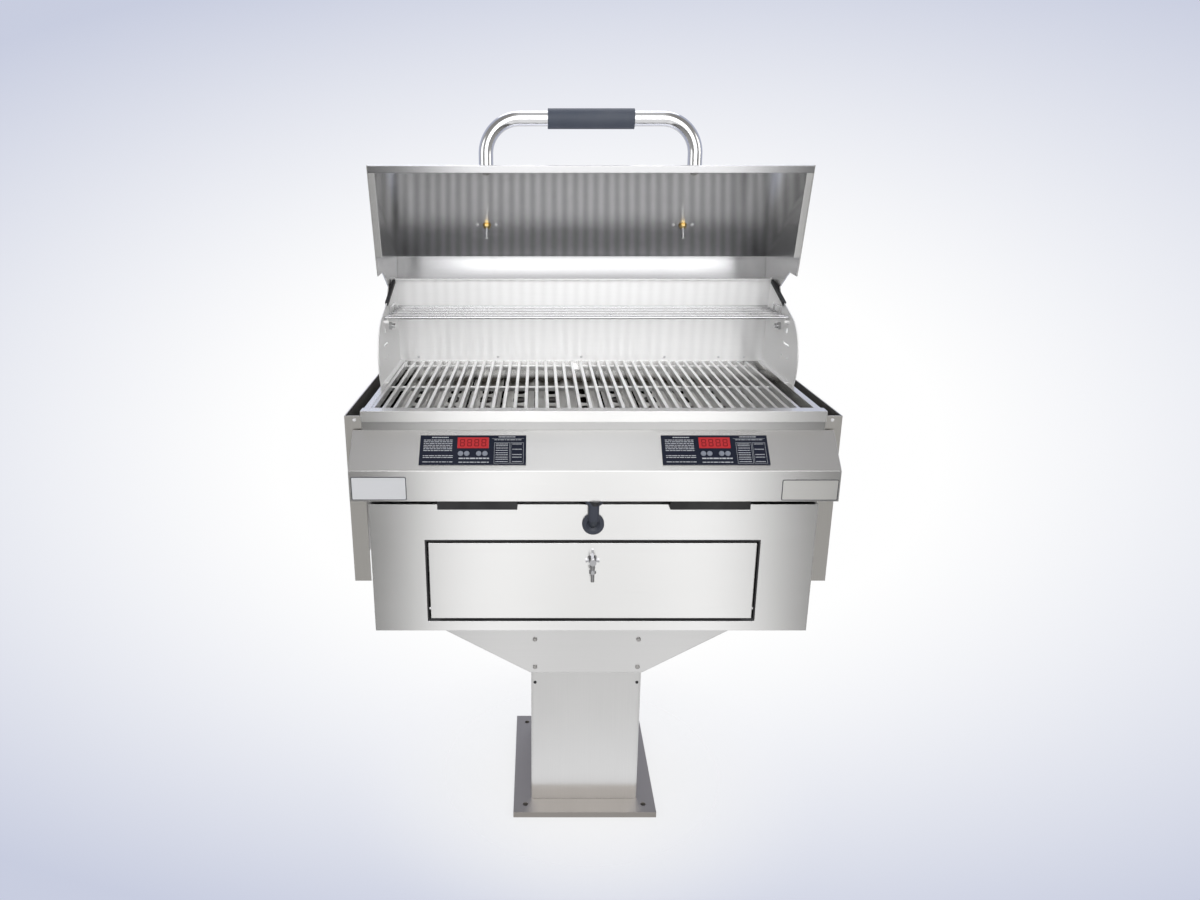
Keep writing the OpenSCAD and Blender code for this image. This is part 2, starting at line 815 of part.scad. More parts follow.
module grate(first_x) {
    last_x = first_x + (bars - 1) * bar_pitch;
    cross_z = grate_top - bar_h - cross_h;
    cross_y = [grate_front_y + cross_w, grate_front_y + cross_middle_share * (grate_back_y - grate_front_y),
        grate_back_y - cross_w];
    union() {
        for (i = [0:bars - 1]) translate([first_x + i * bar_pitch, 0, 0])
            block([-bar_w / 2, grate_front_y, cross_z + cross_h], [bar_w / 2, grate_back_y, grate_top]);
        for (y = cross_y)
            block([first_x - bar_w / 2, y - cross_w / 2, cross_z],
                [last_x + bar_w / 2, y + cross_w / 2, cross_z + 2 * cross_h]);
    }
}

grate_first_x = -inner_x + grate_side + bar_w / 2;

module grate_left() {
    color([0.86, 0.86, 0.87]) grate(grate_first_x);
}

module grate_right() {
    color([0.86, 0.86, 0.87]) grate(grate_first_x + bars * bar_pitch);
}

skin_x = firebox_w / 2 + skin_stand;
skin_top = rim_z - skin_top_drop;
skin_front_y = firebox_front_y + skin_front_in;
skin_screw_x = (firebox_w + ear_w) / 2;
skin_screw_z = skin_top - skin_screw_drop - small_head_r;

module ear_screw(side) {
    translate([side * skin_screw_x, skin_front_y, skin_screw_z]) rotate([90, 0, 0]) children();
}

// Outer side skin: a folded channel beside the firebox, open at the top and the bottom
module side_skin() {
    low = skin_top - skin_h;
    back = firebox_back_y - skin_back_in;
    difference() {
        block([firebox_w / 2, skin_front_y, low], [skin_x, back, skin_top]);
        block([firebox_w / 2 - overrun, skin_front_y + skin_t, low - overrun],
            [skin_x - skin_t, back - skin_t, skin_top + overrun]);
        ear_screw(1) translate([0, 0, -ear_w]) cylinder(r = small_screw_r + play, h = 2 * ear_w);
    }
}

module side_skin_left() {
    color([0.68, 0.68, 0.66]) mirror([1, 0, 0]) side_skin();
}

module side_skin_right() {
    color([0.68, 0.68, 0.66]) side_skin();
}

module skin_screws() {
    color([0.8, 0.8, 0.8]) for (side = [-1, 1]) ear_screw(side) small_screw(skin_t + sheet);
}

// The console's outline as [y, z], drawn in by the given inset and run on past its open back
module console_section(inset, past) {
    back = firebox_front_y + past;
    low_z = console_z + inset;
    ridge_z = console_z + console_face - inset * tan(slant / 2);
    front = console_front_y + inset;
    polygon([[front, low_z], [front, ridge_z], [back, ridge_z + (back - front) * tan(slant)],
        [back, low_z]]);
}

// Places its children on the slanted face: x along the console, y up the slope, z out of it
module on_slope() {
    translate([0, console_front_y, console_z + console_face]) rotate([slant, 0, 0]) children();
}

function button_x(side, share) = side * panel_x + share * button_reach;
panel_top_y = panel_low + panel_h;
button_y = panel_top_y - button_drop;
window_y = panel_top_y - window_drop - window_h;

module console_screw_places() {
    for (side = [-1, 1]) translate([side * console_w / 2, console_front_y + console_screw_in,
        console_z + console_screw_rise]) rotate([0, side * 90, 0]) children();
}

module console() {
    half = console_w / 2;
    color([0.86, 0.86, 0.86]) difference() {
        along_x(-half, half) console_section(0, 0);
        along_x(-half + sheet, half - sheet) console_section(sheet, overrun);
        on_slope() for (side = [-1, 1])
            translate([side * panel_x - button_reach - button_r - pocket_margin,
                button_y - button_r - pocket_margin, -2 * sheet])
                cube([2 * (button_reach + button_r + pocket_margin),
                    2 * (button_r + pocket_margin), 2 * sheet + overrun]);
        console_screw_places() translate([0, 0, -2 * sheet])
            cylinder(r = small_screw_r + play, h = 4 * sheet);
    }
}

module console_screws() {
    color([0.5, 0.5, 0.52]) console_screw_places() small_screw(2 * sheet);
}

module control_panels() {
    color([0.13, 0.15, 0.22]) on_slope() for (side = [-1, 1]) difference() {
        translate([side * panel_x - panel_w / 2, panel_low, 0]) cube([panel_w, panel_h, panel_t]);
        translate([side * panel_x - window_w / 2 - seat, window_y - seat, -overrun])
            cube([window_w + 2 * seat, window_h + 2 * seat, panel_t + 2 * overrun]);
        for (share = button_shares) translate([button_x(side, share), button_y, -overrun])
            cylinder(r = button_r + button_play, h = panel_t + 2 * overrun);
    }
}

module display_windows() {
    color([0.65, 0.08, 0.1]) on_slope() for (side = [-1, 1])
        translate([side * panel_x - window_w / 2, window_y, 0]) cube([window_w, window_h, window_t]);
}

// One round button, numbered from the left
module button(number) {
    side = number > len(button_shares) ? 1 : -1;
    share = button_shares[(number - 1) % len(button_shares)];
    color([0.72, 0.74, 0.78]) on_slope()
        translate([button_x(side, share), button_y, -button_in]) union() {
            cylinder(r = button_r, h = button_in + panel_t + button_out / 2);
            translate([0, 0, button_in + panel_t + button_out / 2])
                cylinder(r1 = button_r, r2 = button_r * 0.85, h = button_out / 2);
        }
}

module button_1() button(1);
module button_2() button(2);
module button_3() button(3);
module button_4() button(4);
module button_5() button(5);
module button_6() button(6);
module button_7() button(7);
module button_8() button(8);

wall_top_y = wall_foot_y - wall_lean;

// Back wall: it leans forward and has a folded edge at its top
module back_wall() {
    f = wall_foot_y;
    t = wall_top_y;
    color([0.83, 0.83, 0.85]) along_x(-cheek_x, cheek_x)
        polygon([[f, rim_z - wall_below], [f + sheet, rim_z - wall_below], [f + sheet, rim_z],
            [t + sheet, wall_top], [t - wall_flange, wall_top], [t - wall_flange, wall_top - sheet],
            [t, wall_top - sheet], [f, rim_z]]);
}

// Round-headed rivets along the foot of the back wall
module wall_rivets() {
    tilt = atan2(wall_lean, wall_rise - sheet);
    y = wall_foot_y - rivet_rise * tan(tilt) - play / 2;
    color([0.7, 0.7, 0.71]) for (share = rivet_shares)
        translate([share * cheek_x, y, rim_z + rivet_rise]) rotate([90 + tilt, 0, 0])
            cylinder(r1 = rivet_r, r2 = rivet_r * 0.5, h = rivet_h);
}

cheek_front_y = wall_foot_y - cheek_d;
cheek_y = cheek_front_y + cheek_r;
cheek_z = rim_z + cheek_belly_rise;
cheek_turn = 90 + cheek_slope;
cheek_shoulder = [cheek_y + cheek_r * cos(cheek_turn), cheek_z + cheek_r * sin(cheek_turn)];
cheek_top_z = cheek_shoulder[1] + (wall_top_y - cheek_shoulder[0]) * tan(cheek_slope);

// Cheek outline as [y, z]: a round belly, a straight sloping top and the wall's lean behind
module cheek_outline() {
    back = wall_foot_y + sheet;
    union() {
        polygon([[cheek_y, side_top], cheek_shoulder, [wall_top_y, cheek_top_z],
            [wall_top_y + sheet, cheek_top_z], [back, rim_z], [back, side_top]]);
        intersection() {
            translate([cheek_y, cheek_z]) circle(r = cheek_r);
            translate([cheek_front_y - overrun, side_top]) square([cheek_r + overrun, 2 * cheek_r]);
        }
    }
}

// Holes for a spit's bracket, as shares of the belly's radius from its centre: [y, z, radius]
bracket_shares = [[0.06, 0.6, 0.07], [-0.14, -0.06, 0.035], [0.34, -0.06, 0.035]];
bracket_slot_shares = [-0.2, 0.24, 0.25, 0.05];

module cheek() {
    color([0.8, 0.8, 0.79]) difference() {
        union() {
            along_x(cheek_x, cheek_x + cheek_t) cheek_outline();
            block([cheek_x - cheek_foot, cheek_y - cheek_r / 2, side_top],
                [cheek_x, wall_foot_y - sheet, side_top + sheet]);
            for (y = [rack_front_y, rack_back_y])
                translate([0, y, rack_z - rod_r - wire_r - stud_r - seat])
                    rod_x(stud_r, cheek_x - stud_l, cheek_x);
        }
        translate([0, pivot[1], pivot[2]]) rod_x(pivot_r + play, cheek_x - overrun, cheek_x + 2 * cheek_t);
        for (hole = bracket_shares)
            translate([0, cheek_y + hole[0] * cheek_r, cheek_z + hole[1] * cheek_r])
                rod_x(hole[2] * cheek_r, cheek_x - overrun, cheek_x + 2 * cheek_t);
        translate([cheek_x - overrun, cheek_y + bracket_slot_shares[0] * cheek_r,
            cheek_z + bracket_slot_shares[1] * cheek_r])
            cube([2 * cheek_t + overrun, 2 * bracket_slot_shares[2] * cheek_r,
                bracket_slot_shares[3] * cheek_r]);
    }
}

module cheek_right() cheek();
module cheek_left() mirror([1, 0, 0]) cheek();

// Black strip pushed on each cheek's sloping edge
module edge_trims() {
    color([0.05, 0.05, 0.06]) for (side = [0, 1]) mirror([side, 0, 0])
        translate([cheek_x + cheek_t / 2, cheek_shoulder[0], cheek_shoulder[1]])
            rotate([cheek_slope, 0, 0]) translate([0, trim_low, 0]) difference() {
                translate([-trim_w / 2, 0, -trim_h + sheet]) cube([trim_w, trim_l, trim_h]);
                translate([-cheek_t / 2, -overrun, -trim_h + sheet - overrun])
                    cube([cheek_t, trim_l + 2 * overrun, trim_h - sheet + overrun]);
            }
}

lid_inner = lid_x - lid_t;

// Bolt through each cheek and lid side, with a spacer between them and a cap nut outside
module pivot_bolts() {
    outer = cheek_x + cheek_t;
    color([0.75, 0.75, 0.76]) for (side = [0, 1]) mirror([side, 0, 0])
        translate([0, pivot[1], pivot[2]]) union() {
            rod_x(pivot_head_r, cheek_x - pivot_head_h, cheek_x);
            rod_x(pivot_r, cheek_x - pivot_head_h - pivot_end, lid_x + pivot_head_h);
            rod_x(pivot_head_r, outer, lid_inner - seat);
            rod_x(pivot_head_r, lid_x + seat, lid_x + pivot_head_h);
        }
}

rack_half = cheek_x - rack_side_gap;
rack_side_x = rack_half - wire_r;
rack_pitch = rack_d / (rack_wires - 1);

// Wire rack on the cheeks' studs
module warming_rack() {
    color([0.85, 0.85, 0.86]) union() {
        both(rack_side_x) translate([0, rack_front_y, rack_z - rod_r]) rotate([-90, 0, 0])
            cylinder(r = wire_r, h = rack_d);
        for (i = [0:rack_wires - 1]) translate([0, rack_front_y + i * rack_pitch, rack_z])
            rod_x(i == 0 ? rod_r : wire_r, -rack_half, rack_half);
    }
}

// A low wire bail inside each end of the rack, its legs between two cross wires
module rack_bails() {
    color([0.85, 0.85, 0.86]) both(rack_side_x - 2 * wire_r)
        translate([0, 0, rack_z - rod_r - wire_r]) union() {
            for (step = bail_steps) translate([0, rack_front_y + step * rack_pitch, 0]) {
                cylinder(r = wire_r, h = bail_h);
                translate([0, 0, bail_h]) sphere(r = wire_r);
            }
            translate([0, rack_front_y + bail_steps[0] * rack_pitch, bail_h]) rotate([-90, 0, 0])
                cylinder(r = wire_r, h = (bail_steps[1] - bail_steps[0]) * rack_pitch);
        }
}

// Turns what is drawn on the closed lid to its open position
module opened() {
    translate(pivot) rotate([-lid_open, 0, 0]) translate(-pivot) children();
}

// Places its children on the closed lid's front: x across, y from the lip up, z outwards
module on_lid() {
    translate([0, lip[0], lip[1]]) rotate([lid_slope, 0, 0]) children();
}

lid_along = norm(crease - lip);
tail_l = norm(tail - crease);

module lid_shell() {
    fold = tan((lid_slope - tail_slope) / 2);
    color([0.78, 0.78, 0.8]) opened() difference() {
        along_x(-lid_inner, lid_inner) union() {
            translate(lip) rotate(lid_slope)
                polygon([[0, 0], [lid_along, 0], [lid_along - lid_t * fold, -lid_t], [0, -lid_t]]);
            translate(crease) rotate(tail_slope)
                polygon([[0, 0], [tail_l, 0], [tail_l, -lid_t], [lid_t * fold, -lid_t]]);
            polygon([lip, lip + [lid_flange, 0], lip + [lid_flange, -lid_t],
                lip + [lid_t * sin(lid_slope), -lid_t]]);
        }
        for (side = [-1, 1]) on_lid() {
            translate([side * handle_span / 2, handle_along, -2 * lid_t])
                cylinder(r = handle_bolt_r + hole_play, h = 4 * lid_t);
            translate([side * gauge_span / 2, gauge_along, -2 * lid_t])
                cylinder(r = stem_r + hole_play, h = 4 * lid_t);
            for (step = [-1, 1])
                translate([side * gauge_span / 2 + step * gauge_screw_x, gauge_along, -2 * lid_t])
                    cylinder(r = small_screw_r + play, h = 4 * lid_t);
        }
    }
}

// A point of the closed lid's side, as shares of its depth and height from the lip
function on_side(share) =
    lip + [share[0] * (tail[0] - lip[0]), share[1] * (crease[1] - lip[1])];

// Lower edge of the lid's side, from the lip round the firebox's corner to the pivot, as shares
side_shares = [[0, 0], [0.4233, 0.0939], [0.4806, 0.1148], [0.485, 0.2887], [0.5159, 0.3617],
    [0.5842, 0.5078]];
flange_shares = [0.394, 0.0874];
ear_r = 20;
pivot_yz = [pivot[1], pivot[2]];

module lid_side_outline() {
    union() {
        polygon([for (share = side_shares) on_side(share), pivot_yz + [-ear_r, ear_r / 2], pivot_yz,
            pivot_yz + [ear_r, 0], tail, crease]);
        translate(pivot_yz) circle(r = ear_r);
    }
}

module lid_side() {
    flange_end = on_side(flange_shares);
    color([0.8, 0.8, 0.81]) opened() difference() {
        union() {
            along_x(lid_inner, lid_x) lid_side_outline();
            along_x(lid_x - lid_flange, lid_inner)
                polygon([lip + [lid_flange, lid_t * 0.5], flange_end, flange_end + [0, lid_t],
                    lip + [lid_flange, lid_t * 2]]);
        }
        translate([0, pivot[1], pivot[2]]) rod_x(pivot_r + play, lid_inner - overrun, lid_x + overrun);
    }
}

module lid_side_right() lid_side();
module lid_side_left() mirror([1, 0, 0]) lid_side();

// Frame of the handle: x across, z out of the lid along the legs
module on_handle() {
    on_lid() translate([0, handle_along, 0]) rotate([90 - handle_tilt - lid_slope, 0, 0]) children();
}

module handle_tube() {
    leg = handle_reach - handle_bend;
    half = handle_span / 2;
    color([0.82, 0.82, 0.83]) opened() difference() {
        on_handle() union() {
            for (side = [0, 1]) mirror([side, 0, 0]) {
                translate([half, 0, -handle_r]) cylinder(r = handle_r, h = leg + handle_r);
                translate([half - handle_bend, 0, leg]) rotate([90, 0, 0]) rotate_extrude(angle = 90)
                    translate([handle_bend, 0]) circle(r = handle_r);
            }
            translate([0, 0, handle_reach])
                rod_x(handle_r, -half + handle_bend, half - handle_bend);
        }
        on_lid() translate([-lid_x, -lid_along, -4 * handle_r])
            cube([2 * lid_x, 2 * lid_along, 4 * handle_r]);
        for (side = [-1, 1]) on_lid() translate([side * half, handle_along, -overrun])
            cylinder(r = handle_bolt_r + play, h = handle_bolt_l - lid_t + overrun);
    }
}

module handle_sleeve() {
    color([0.2, 0.22, 0.27]) opened() on_handle() translate([0, 0, handle_reach]) difference() {
        rod_x(handle_r + sleeve_t, -sleeve_l / 2, sleeve_l / 2);
        rod_x(handle_r + play, -sleeve_l / 2 - overrun, sleeve_l / 2 + overrun);
    }
}

module handle_bolts() {
    color([0.6, 0.6, 0.62]) opened() for (side = [-1, 1]) on_lid()
        translate([side * handle_span / 2, handle_along, -lid_t]) rotate([180, 0, 0])
            screw(2 * handle_bolt_r, handle_bolt_r, handle_bolt_r, handle_bolt_l - overrun);
}

// Places its children on both thermometers' centres, z outwards
module on_gauges() {
    for (side = [-1, 1]) on_lid() translate([side * gauge_span / 2, gauge_along, 0]) children();
}

module thermometer_cases() {
    color([0.8, 0.8, 0.8]) opened() on_gauges() difference() {
        rotate_extrude() polygon([[0, 0], [gauge_r, 0], [gauge_r, gauge_depth - gauge_rim],
            [gauge_r - gauge_rim, gauge_depth], [gauge_r - 2 * gauge_rim, gauge_depth],
            [gauge_r - 2 * gauge_rim, gauge_floor], [0, gauge_floor]]);
        translate([0, 0, -overrun]) cylinder(r = stem_r + play, h = gauge_floor + 2 * overrun);
        for (step = [-1, 1]) translate([step * gauge_screw_x, 0, -overrun])
            cylinder(r = small_screw_r + play, h = gauge_floor + 2 * overrun);
    }
}

module thermometer_lenses() {
    color([0.8, 0.88, 0.92, 0.4]) opened() on_gauges()
        translate([0, 0, gauge_depth - gauge_rim]) cylinder(r = gauge_r - 2 * gauge_rim, h = lens_t);
}

// Needle that turns on the stem's pin, above the dial
module needle(side) {
    z = gauge_floor + 2 * needle_gap;
    color([0.1, 0.1, 0.1]) opened() on_lid() translate([side * gauge_span / 2, gauge_along, z])
        rotate([0, 0, 225]) difference() {
            union() {
                cylinder(r = needle_hub_r, h = 2 * needle_t);
                translate([-needle_r / 4, -needle_w / 2, 0]) cube([needle_r * 1.25, needle_w, needle_t]);
            }
            translate([0, 0, -overrun])
                cylinder(r = needle_pin_r + play, h = 2 * needle_t + 2 * overrun);
        }
}

module needle_left() needle(-1);
module needle_right() needle(1);

module thermometer_stems() {
    color([0.78, 0.74, 0.6]) opened() on_gauges() union() {
        translate([0, 0, -stem_l]) cylinder(r = stem_r, h = stem_l + gauge_floor + needle_gap);
        translate([0, 0, gauge_floor]) cylinder(r = needle_pin_r, h = 2 * needle_gap + 2 * needle_t);
    }
}

// Brass hexagon nut on its washer on each stem
module thermometer_nuts() {
    color([0.78, 0.62, 0.25]) opened() on_gauges() difference() {
        union() {
            translate([0, 0, -lid_t - nut_washer_h]) cylinder(r = nut_washer_r, h = nut_washer_h);
            translate([0, 0, -lid_t - nut_washer_h - nut_h]) cylinder(r = nut_r, h = nut_h, $fn = 6);
        }
        translate([0, 0, -lid_t - nut_washer_h - nut_h - overrun])
            cylinder(r = stem_r + play, h = nut_washer_h + nut_h + 2 * overrun);
    }
}

// A small screw on either side of each nut
module thermometer_screws() {
    color([0.8, 0.8, 0.81]) opened() on_gauges()
        for (step = [-1, 1]) translate([step * gauge_screw_x, 0, -lid_t]) rotate([180, 0, 0])
            screw(small_head_r, small_head_h, small_screw_r, lid_t + gauge_floor);
}

base_plate();
post();
post_cover();
cover_screws();
gusset_front();
gusset_rear();
gusset_screws();
cabinet_shell();
cabinet_front();
cabinet_screws();
door();
door_gasket();
hinge_blocks();
hinge_pins();
latch_base();
latch_handle();
conduit();
conduit_gland();
grommet();
grip_strips();
firebox();
heating_elements();
element_legs();
heat_plates();
grate_left();
grate_right();
grease_tray();
side_skin_left();
side_skin_right();
skin_screws();
console();
console_screws();
control_panels();
display_windows();
button_1();
button_2();
button_3();
button_4();
button_5();
button_6();
button_7();
button_8();
back_wall();
cheek_left();
cheek_right();
edge_trims();
pivot_bolts();
wall_rivets();
warming_rack();
rack_bails();
lid_shell();
lid_side_left();
lid_side_right();
handle_tube();
handle_sleeve();
handle_bolts();
thermometer_cases();
thermometer_lenses();
needle_left();
needle_right();
thermometer_stems();
thermometer_nuts();
thermometer_screws();
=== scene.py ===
import math
import bpy
import numpy as np
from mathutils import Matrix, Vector


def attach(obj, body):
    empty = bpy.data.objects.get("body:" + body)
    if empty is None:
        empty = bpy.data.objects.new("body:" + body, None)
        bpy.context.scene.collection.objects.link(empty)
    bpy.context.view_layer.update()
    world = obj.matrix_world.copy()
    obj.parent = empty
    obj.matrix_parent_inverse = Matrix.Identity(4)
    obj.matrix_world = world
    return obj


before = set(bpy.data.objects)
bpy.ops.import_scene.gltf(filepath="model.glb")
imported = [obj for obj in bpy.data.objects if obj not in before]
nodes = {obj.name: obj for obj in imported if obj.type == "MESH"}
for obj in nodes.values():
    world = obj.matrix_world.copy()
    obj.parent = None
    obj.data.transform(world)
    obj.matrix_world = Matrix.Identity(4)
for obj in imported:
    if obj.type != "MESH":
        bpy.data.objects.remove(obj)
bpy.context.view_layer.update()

bpy.context.scene.view_settings.view_transform = "Standard"
print("frame loaded:", len(nodes), "nodes")

# the photo's camera: x right, y back, z up, in metres
cameraFacts = {"place": (-0.100, -1.7175, 1.303), "downDegrees": 17.3, "lens": 26.1, "sensor": 36.0,
               "shiftX": 0.0517, "sees": 60.0}
# soft studio: each lamp is (name, place, looks at, size, watts, colour)
lampFacts = [
    ("lampTop", (0.0, 1.3, 3.0), (0.0, 0.1, 0.9), 2.2, 22.0, (1.0, 1.0, 1.0)),
    ("lampFront", (0.12, -2.3, 2.0), (0.0, 0.1, 0.95), 2.3, 31.0, (1.0, 1.0, 1.0)),
    ("lampLeft", (-2.6, -1.2, 1.8), (0.0, 0.1, 1.0), 1.6, 10.0, (0.98, 0.99, 1.0)),
    ("lampRight", (2.8, -1.0, 2.0), (0.0, 0.1, 1.0), 1.6, 12.0, (1.0, 0.99, 0.97)),
]
# the room round the object, which its metal shows: white card low in front, greyer to the sides
# and above, and a backdrop that dims from its middle, two and a half times as fast upwards as
# sideways; the card's stops are (share of the way across, level), and pairs are where a fade
# starts and ends
roomFacts = {
    "cardStops": [(0.0, 0.46), (0.33, 0.34), (0.385, 0.10), (0.412, 0.10), (0.445, 1.15),
                  (0.475, 1.22), (0.52, 0.92), (0.56, 0.98), (0.60, 1.30), (0.618, 1.10),
                  (0.645, 0.14), (0.69, 0.12), (0.76, 0.36), (1.0, 0.46)],
    "warmth": (1.0, 0.985, 0.955), "warmthShare": 1.6, "cardTop": (0.25, 0.85), "cardEnd": (-0.1, 0.35),
    "ceiling": (0.74, 0.74, 0.74), "ceilingEdge": (0.33, 0.32, 0.31), "ceilingMiddle": 0.05,
    "ceilingFade": (0.04, 0.26),
    "sideways": (0.9975, -0.0679, 0.0211), "upwards": (0.0, 0.2974, 0.9548),
    "drop": (0.821, 2.056), "spare": 0.1037, "most": 0.42, "dim": (1.0, 0.92, 0.61),
}


def makeCamera():
    data = bpy.data.cameras.new("camera")
    data.lens = cameraFacts["lens"]
    data.sensor_width = cameraFacts["sensor"]
    data.shift_x = cameraFacts["shiftX"]
    data.clip_end = cameraFacts["sees"]
    camera = bpy.data.objects.new("camera", data)
    camera.location = cameraFacts["place"]
    camera.rotation_euler = (math.radians(90.0 - cameraFacts["downDegrees"]), 0.0, 0.0)
    bpy.context.scene.collection.objects.link(camera)
    bpy.context.scene.camera = camera


def makeLamps():
    for name, place, target, size, watts, colour in lampFacts:
        data = bpy.data.lights.new(name, "AREA")
        data.shape = "DISK"
        data.size = size
        data.energy = watts
        data.color = colour
        lamp = bpy.data.objects.new(name, data)
        lamp.location = place
        lamp.rotation_euler = (Vector(target) - Vector(place)).to_track_quat("-Z", "Y").to_euler()
        bpy.context.scene.collection.objects.link(lamp)


# builds a node tree, one wired node at a time: a socket gets a value or another node's output
class Nodes:
    def __init__(self, tree):
        self.tree = tree
        tree.nodes.clear()

    def add(self, kind, inputs=None, **settings):
        node = self.tree.nodes.new(kind)
        for key, value in settings.items():
            setattr(node, key, value)
        for key, value in (inputs or {}).items():
            if isinstance(value, bpy.types.NodeSocket):
                self.tree.links.new(value, node.inputs[key])
            else:
                node.inputs[key].default_value = value
        return node


# a value's way from one end of a pair to the other, turned into the way between two results
def remap(n, value, ends=(0.0, 1.0), results=(0.0, 1.0), soft=False):
    return n.add("ShaderNodeMapRange", {"Value": value, "From Min": ends[0], "From Max": ends[1],
                                        "To Min": results[0], "To Max": results[1]},
                 interpolation_type="SMOOTHSTEP" if soft else "LINEAR").outputs[0]


# one sum of two sockets or numbers, such as ADD
def reckon(n, operation, first, second, clamp=False):
    return n.add("ShaderNodeMath", {0: first, 1: second}, operation=operation, use_clamp=clamp).outputs[0]


# one colour laid over another by a share
def blend(n, share, first, second):
    pair = [tuple(c) + (1.0,) if isinstance(c, tuple) else c for c in (first, second)]
    return n.add("ShaderNodeMix", {0: share, 6: pair[0], 7: pair[1]}, data_type="RGBA").outputs[2]


# how far a direction points along another one, from -1 to 1
def along(n, way, aim):
    return n.add("ShaderNodeVectorMath", {0: way, 1: aim}, operation="DOT_PRODUCT").outputs["Value"]


def makeWorld():
    f = roomFacts
    world = bpy.data.worlds.new("studio")
    world.use_nodes = True
    bpy.context.scene.world = world
    n = Nodes(world.node_tree)
    way = n.add("ShaderNodeTexCoord").outputs["Generated"]      # the direction that a ray looks in
    split = n.add("ShaderNodeSeparateXYZ", {0: way})
    card = n.add("ShaderNodeValToRGB", {0: remap(n, split.outputs["X"], (-1.0, 1.0))})
    stops = card.color_ramp.elements
    card.color_ramp.interpolation = "EASE"
    while len(stops) > 1:
        stops.remove(stops[-1])
    for index, (place, level) in enumerate(f["cardStops"]):
        stop = stops[0] if index == 0 else stops.new(place)
        stop.position = place
        tint = [1.0 - (1.0 - w) * max(0.0, 1.0 - level) * f["warmthShare"] for w in f["warmth"]]
        stop.color = tuple(level * t for t in tint) + (1.0,)
    offset = reckon(n, "SUBTRACT", split.outputs["X"], f["ceilingMiddle"])
    side = remap(n, reckon(n, "ABSOLUTE", offset, 0.0), f["ceilingFade"], soft=True)
    ceiling = blend(n, side, f["ceiling"], f["ceilingEdge"])
    front = blend(n, remap(n, split.outputs["Z"], f["cardTop"], soft=True), card.outputs[0], ceiling)
    # dimming = share of the squared sideways angle + share of the squared upward angle - a spare
    parts = []
    for key, share in zip(("sideways", "upwards"), f["drop"]):
        reach = along(n, way, f[key])
        parts.append(reckon(n, "MULTIPLY", reckon(n, "MULTIPLY", reach, reach), share))
    spared = reckon(n, "SUBTRACT", reckon(n, "ADD", *parts), f["spare"], clamp=True)
    drop = reckon(n, "MINIMUM", spared, f["most"])
    backdrop = blend(n, drop, (1.0, 1.0, 1.0), tuple(1.0 - d for d in f["dim"]))
    room = blend(n, remap(n, split.outputs["Y"], f["cardEnd"], soft=True), front, backdrop)
    n.add("ShaderNodeOutputWorld", {"Surface": n.add("ShaderNodeBackground", {
        "Color": room, "Strength": 1.0}).outputs[0]})


def newMaterial(name):
    material = bpy.data.materials.new(name)
    material.use_nodes = True
    return material, Nodes(material.node_tree)


def finishMaterial(n, shader):
    n.add("ShaderNodeOutputMaterial", {"Surface": shader})


# product of soft steps, each from 0 to 1 between two places on an axis
def inside(n, coord, steps):
    split = n.add("ShaderNodeSeparateXYZ", {0: coord})
    mask = None
    for axis, *ends in steps:
        step = remap(n, split.outputs[axis], ends, soft=True)
        mask = step if mask is None else reckon(n, "MULTIPLY", mask, step)
    return mask


# a share that is 1 where a face looks along aim, and fades as it turns away
def lookingAt(n, aim, ends):
    return remap(n, along(n, n.add("ShaderNodeNewGeometry").outputs["True Normal"], aim), ends)


# a colour times a level, and a colour made darker by a share of itself
def scaled(n, shade, level):
    return n.add("ShaderNodeVectorMath", {0: shade, "Scale": level}, operation="SCALE").outputs[0]


def darken(n, shade, share):
    return scaled(n, shade, reckon(n, "SUBTRACT", 1.0, share))


# soft noise on a piece's own coordinates; the dictionaries below give each one as its scale per
# metre and its detail, and some also as how rough and how twisted it is
def noise(n, coord, scale, detail, rough=0.5, twist=0.0):
    return n.add("ShaderNodeTexNoise", {"Vector": coord, "Scale": scale, "Detail": detail,
                                        "Roughness": rough, "Distortion": twist}).outputs[0]


# relief of a height up to a depth in metres, over another relief if there is one
def raised(n, height, strength, depth, under=None):
    inputs = {"Height": height, "Strength": strength, "Distance": depth}
    if under is not None:
        inputs["Normal"] = under
    return n.add("ShaderNodeBump", inputs).outputs[0]


# painted reflection streaks spread apart towards the lip: x, from the start, is divided by a share that
# grows downwards
streakFacts = {"facing": (0.93, 0.97), "start": -0.1, "footToLip": (1.135, 1.326), "spread": (1.21, 1.0),
               "scale": 15.7, "waver": 2.4, "detail": 2.0, "detailScale": 0.5, "upperHalf": (1.185, 1.265)}


# painted reflection: soft dark upright streaks about 20 mm apart, on the faces that look along aim; upper
# greys their top half as painted shade
def paintedReflectionStreaks(share, aim, upper=0.0):
    f = streakFacts

    def paintedLight(n, coord, shade):
        split = n.add("ShaderNodeSeparateXYZ", {0: coord})
        spread = remap(n, split.outputs["Z"], f["footToLip"], f["spread"])
        across = reckon(n, "DIVIDE", reckon(n, "SUBTRACT", split.outputs["X"], f["start"]), spread)
        flat = n.add("ShaderNodeCombineXYZ", {"X": across})
        bands = n.add("ShaderNodeTexWave", {"Vector": flat.outputs[0], "Scale": f["scale"],
                                            "Distortion": f["waver"], "Detail": f["detail"],
                                            "Detail Scale": f["detailScale"]}, bands_direction="X")
        dips = reckon(n, "MULTIPLY", bands.outputs["Fac"], share)
        if upper > 0.0:
            dips = reckon(n, "ADD", dips, remap(n, split.outputs["Z"], f["upperHalf"], (0.0, upper), True))
        return darken(n, shade, reckon(n, "MULTIPLY", dips, lookingAt(n, aim, f["facing"])))
    return paintedLight
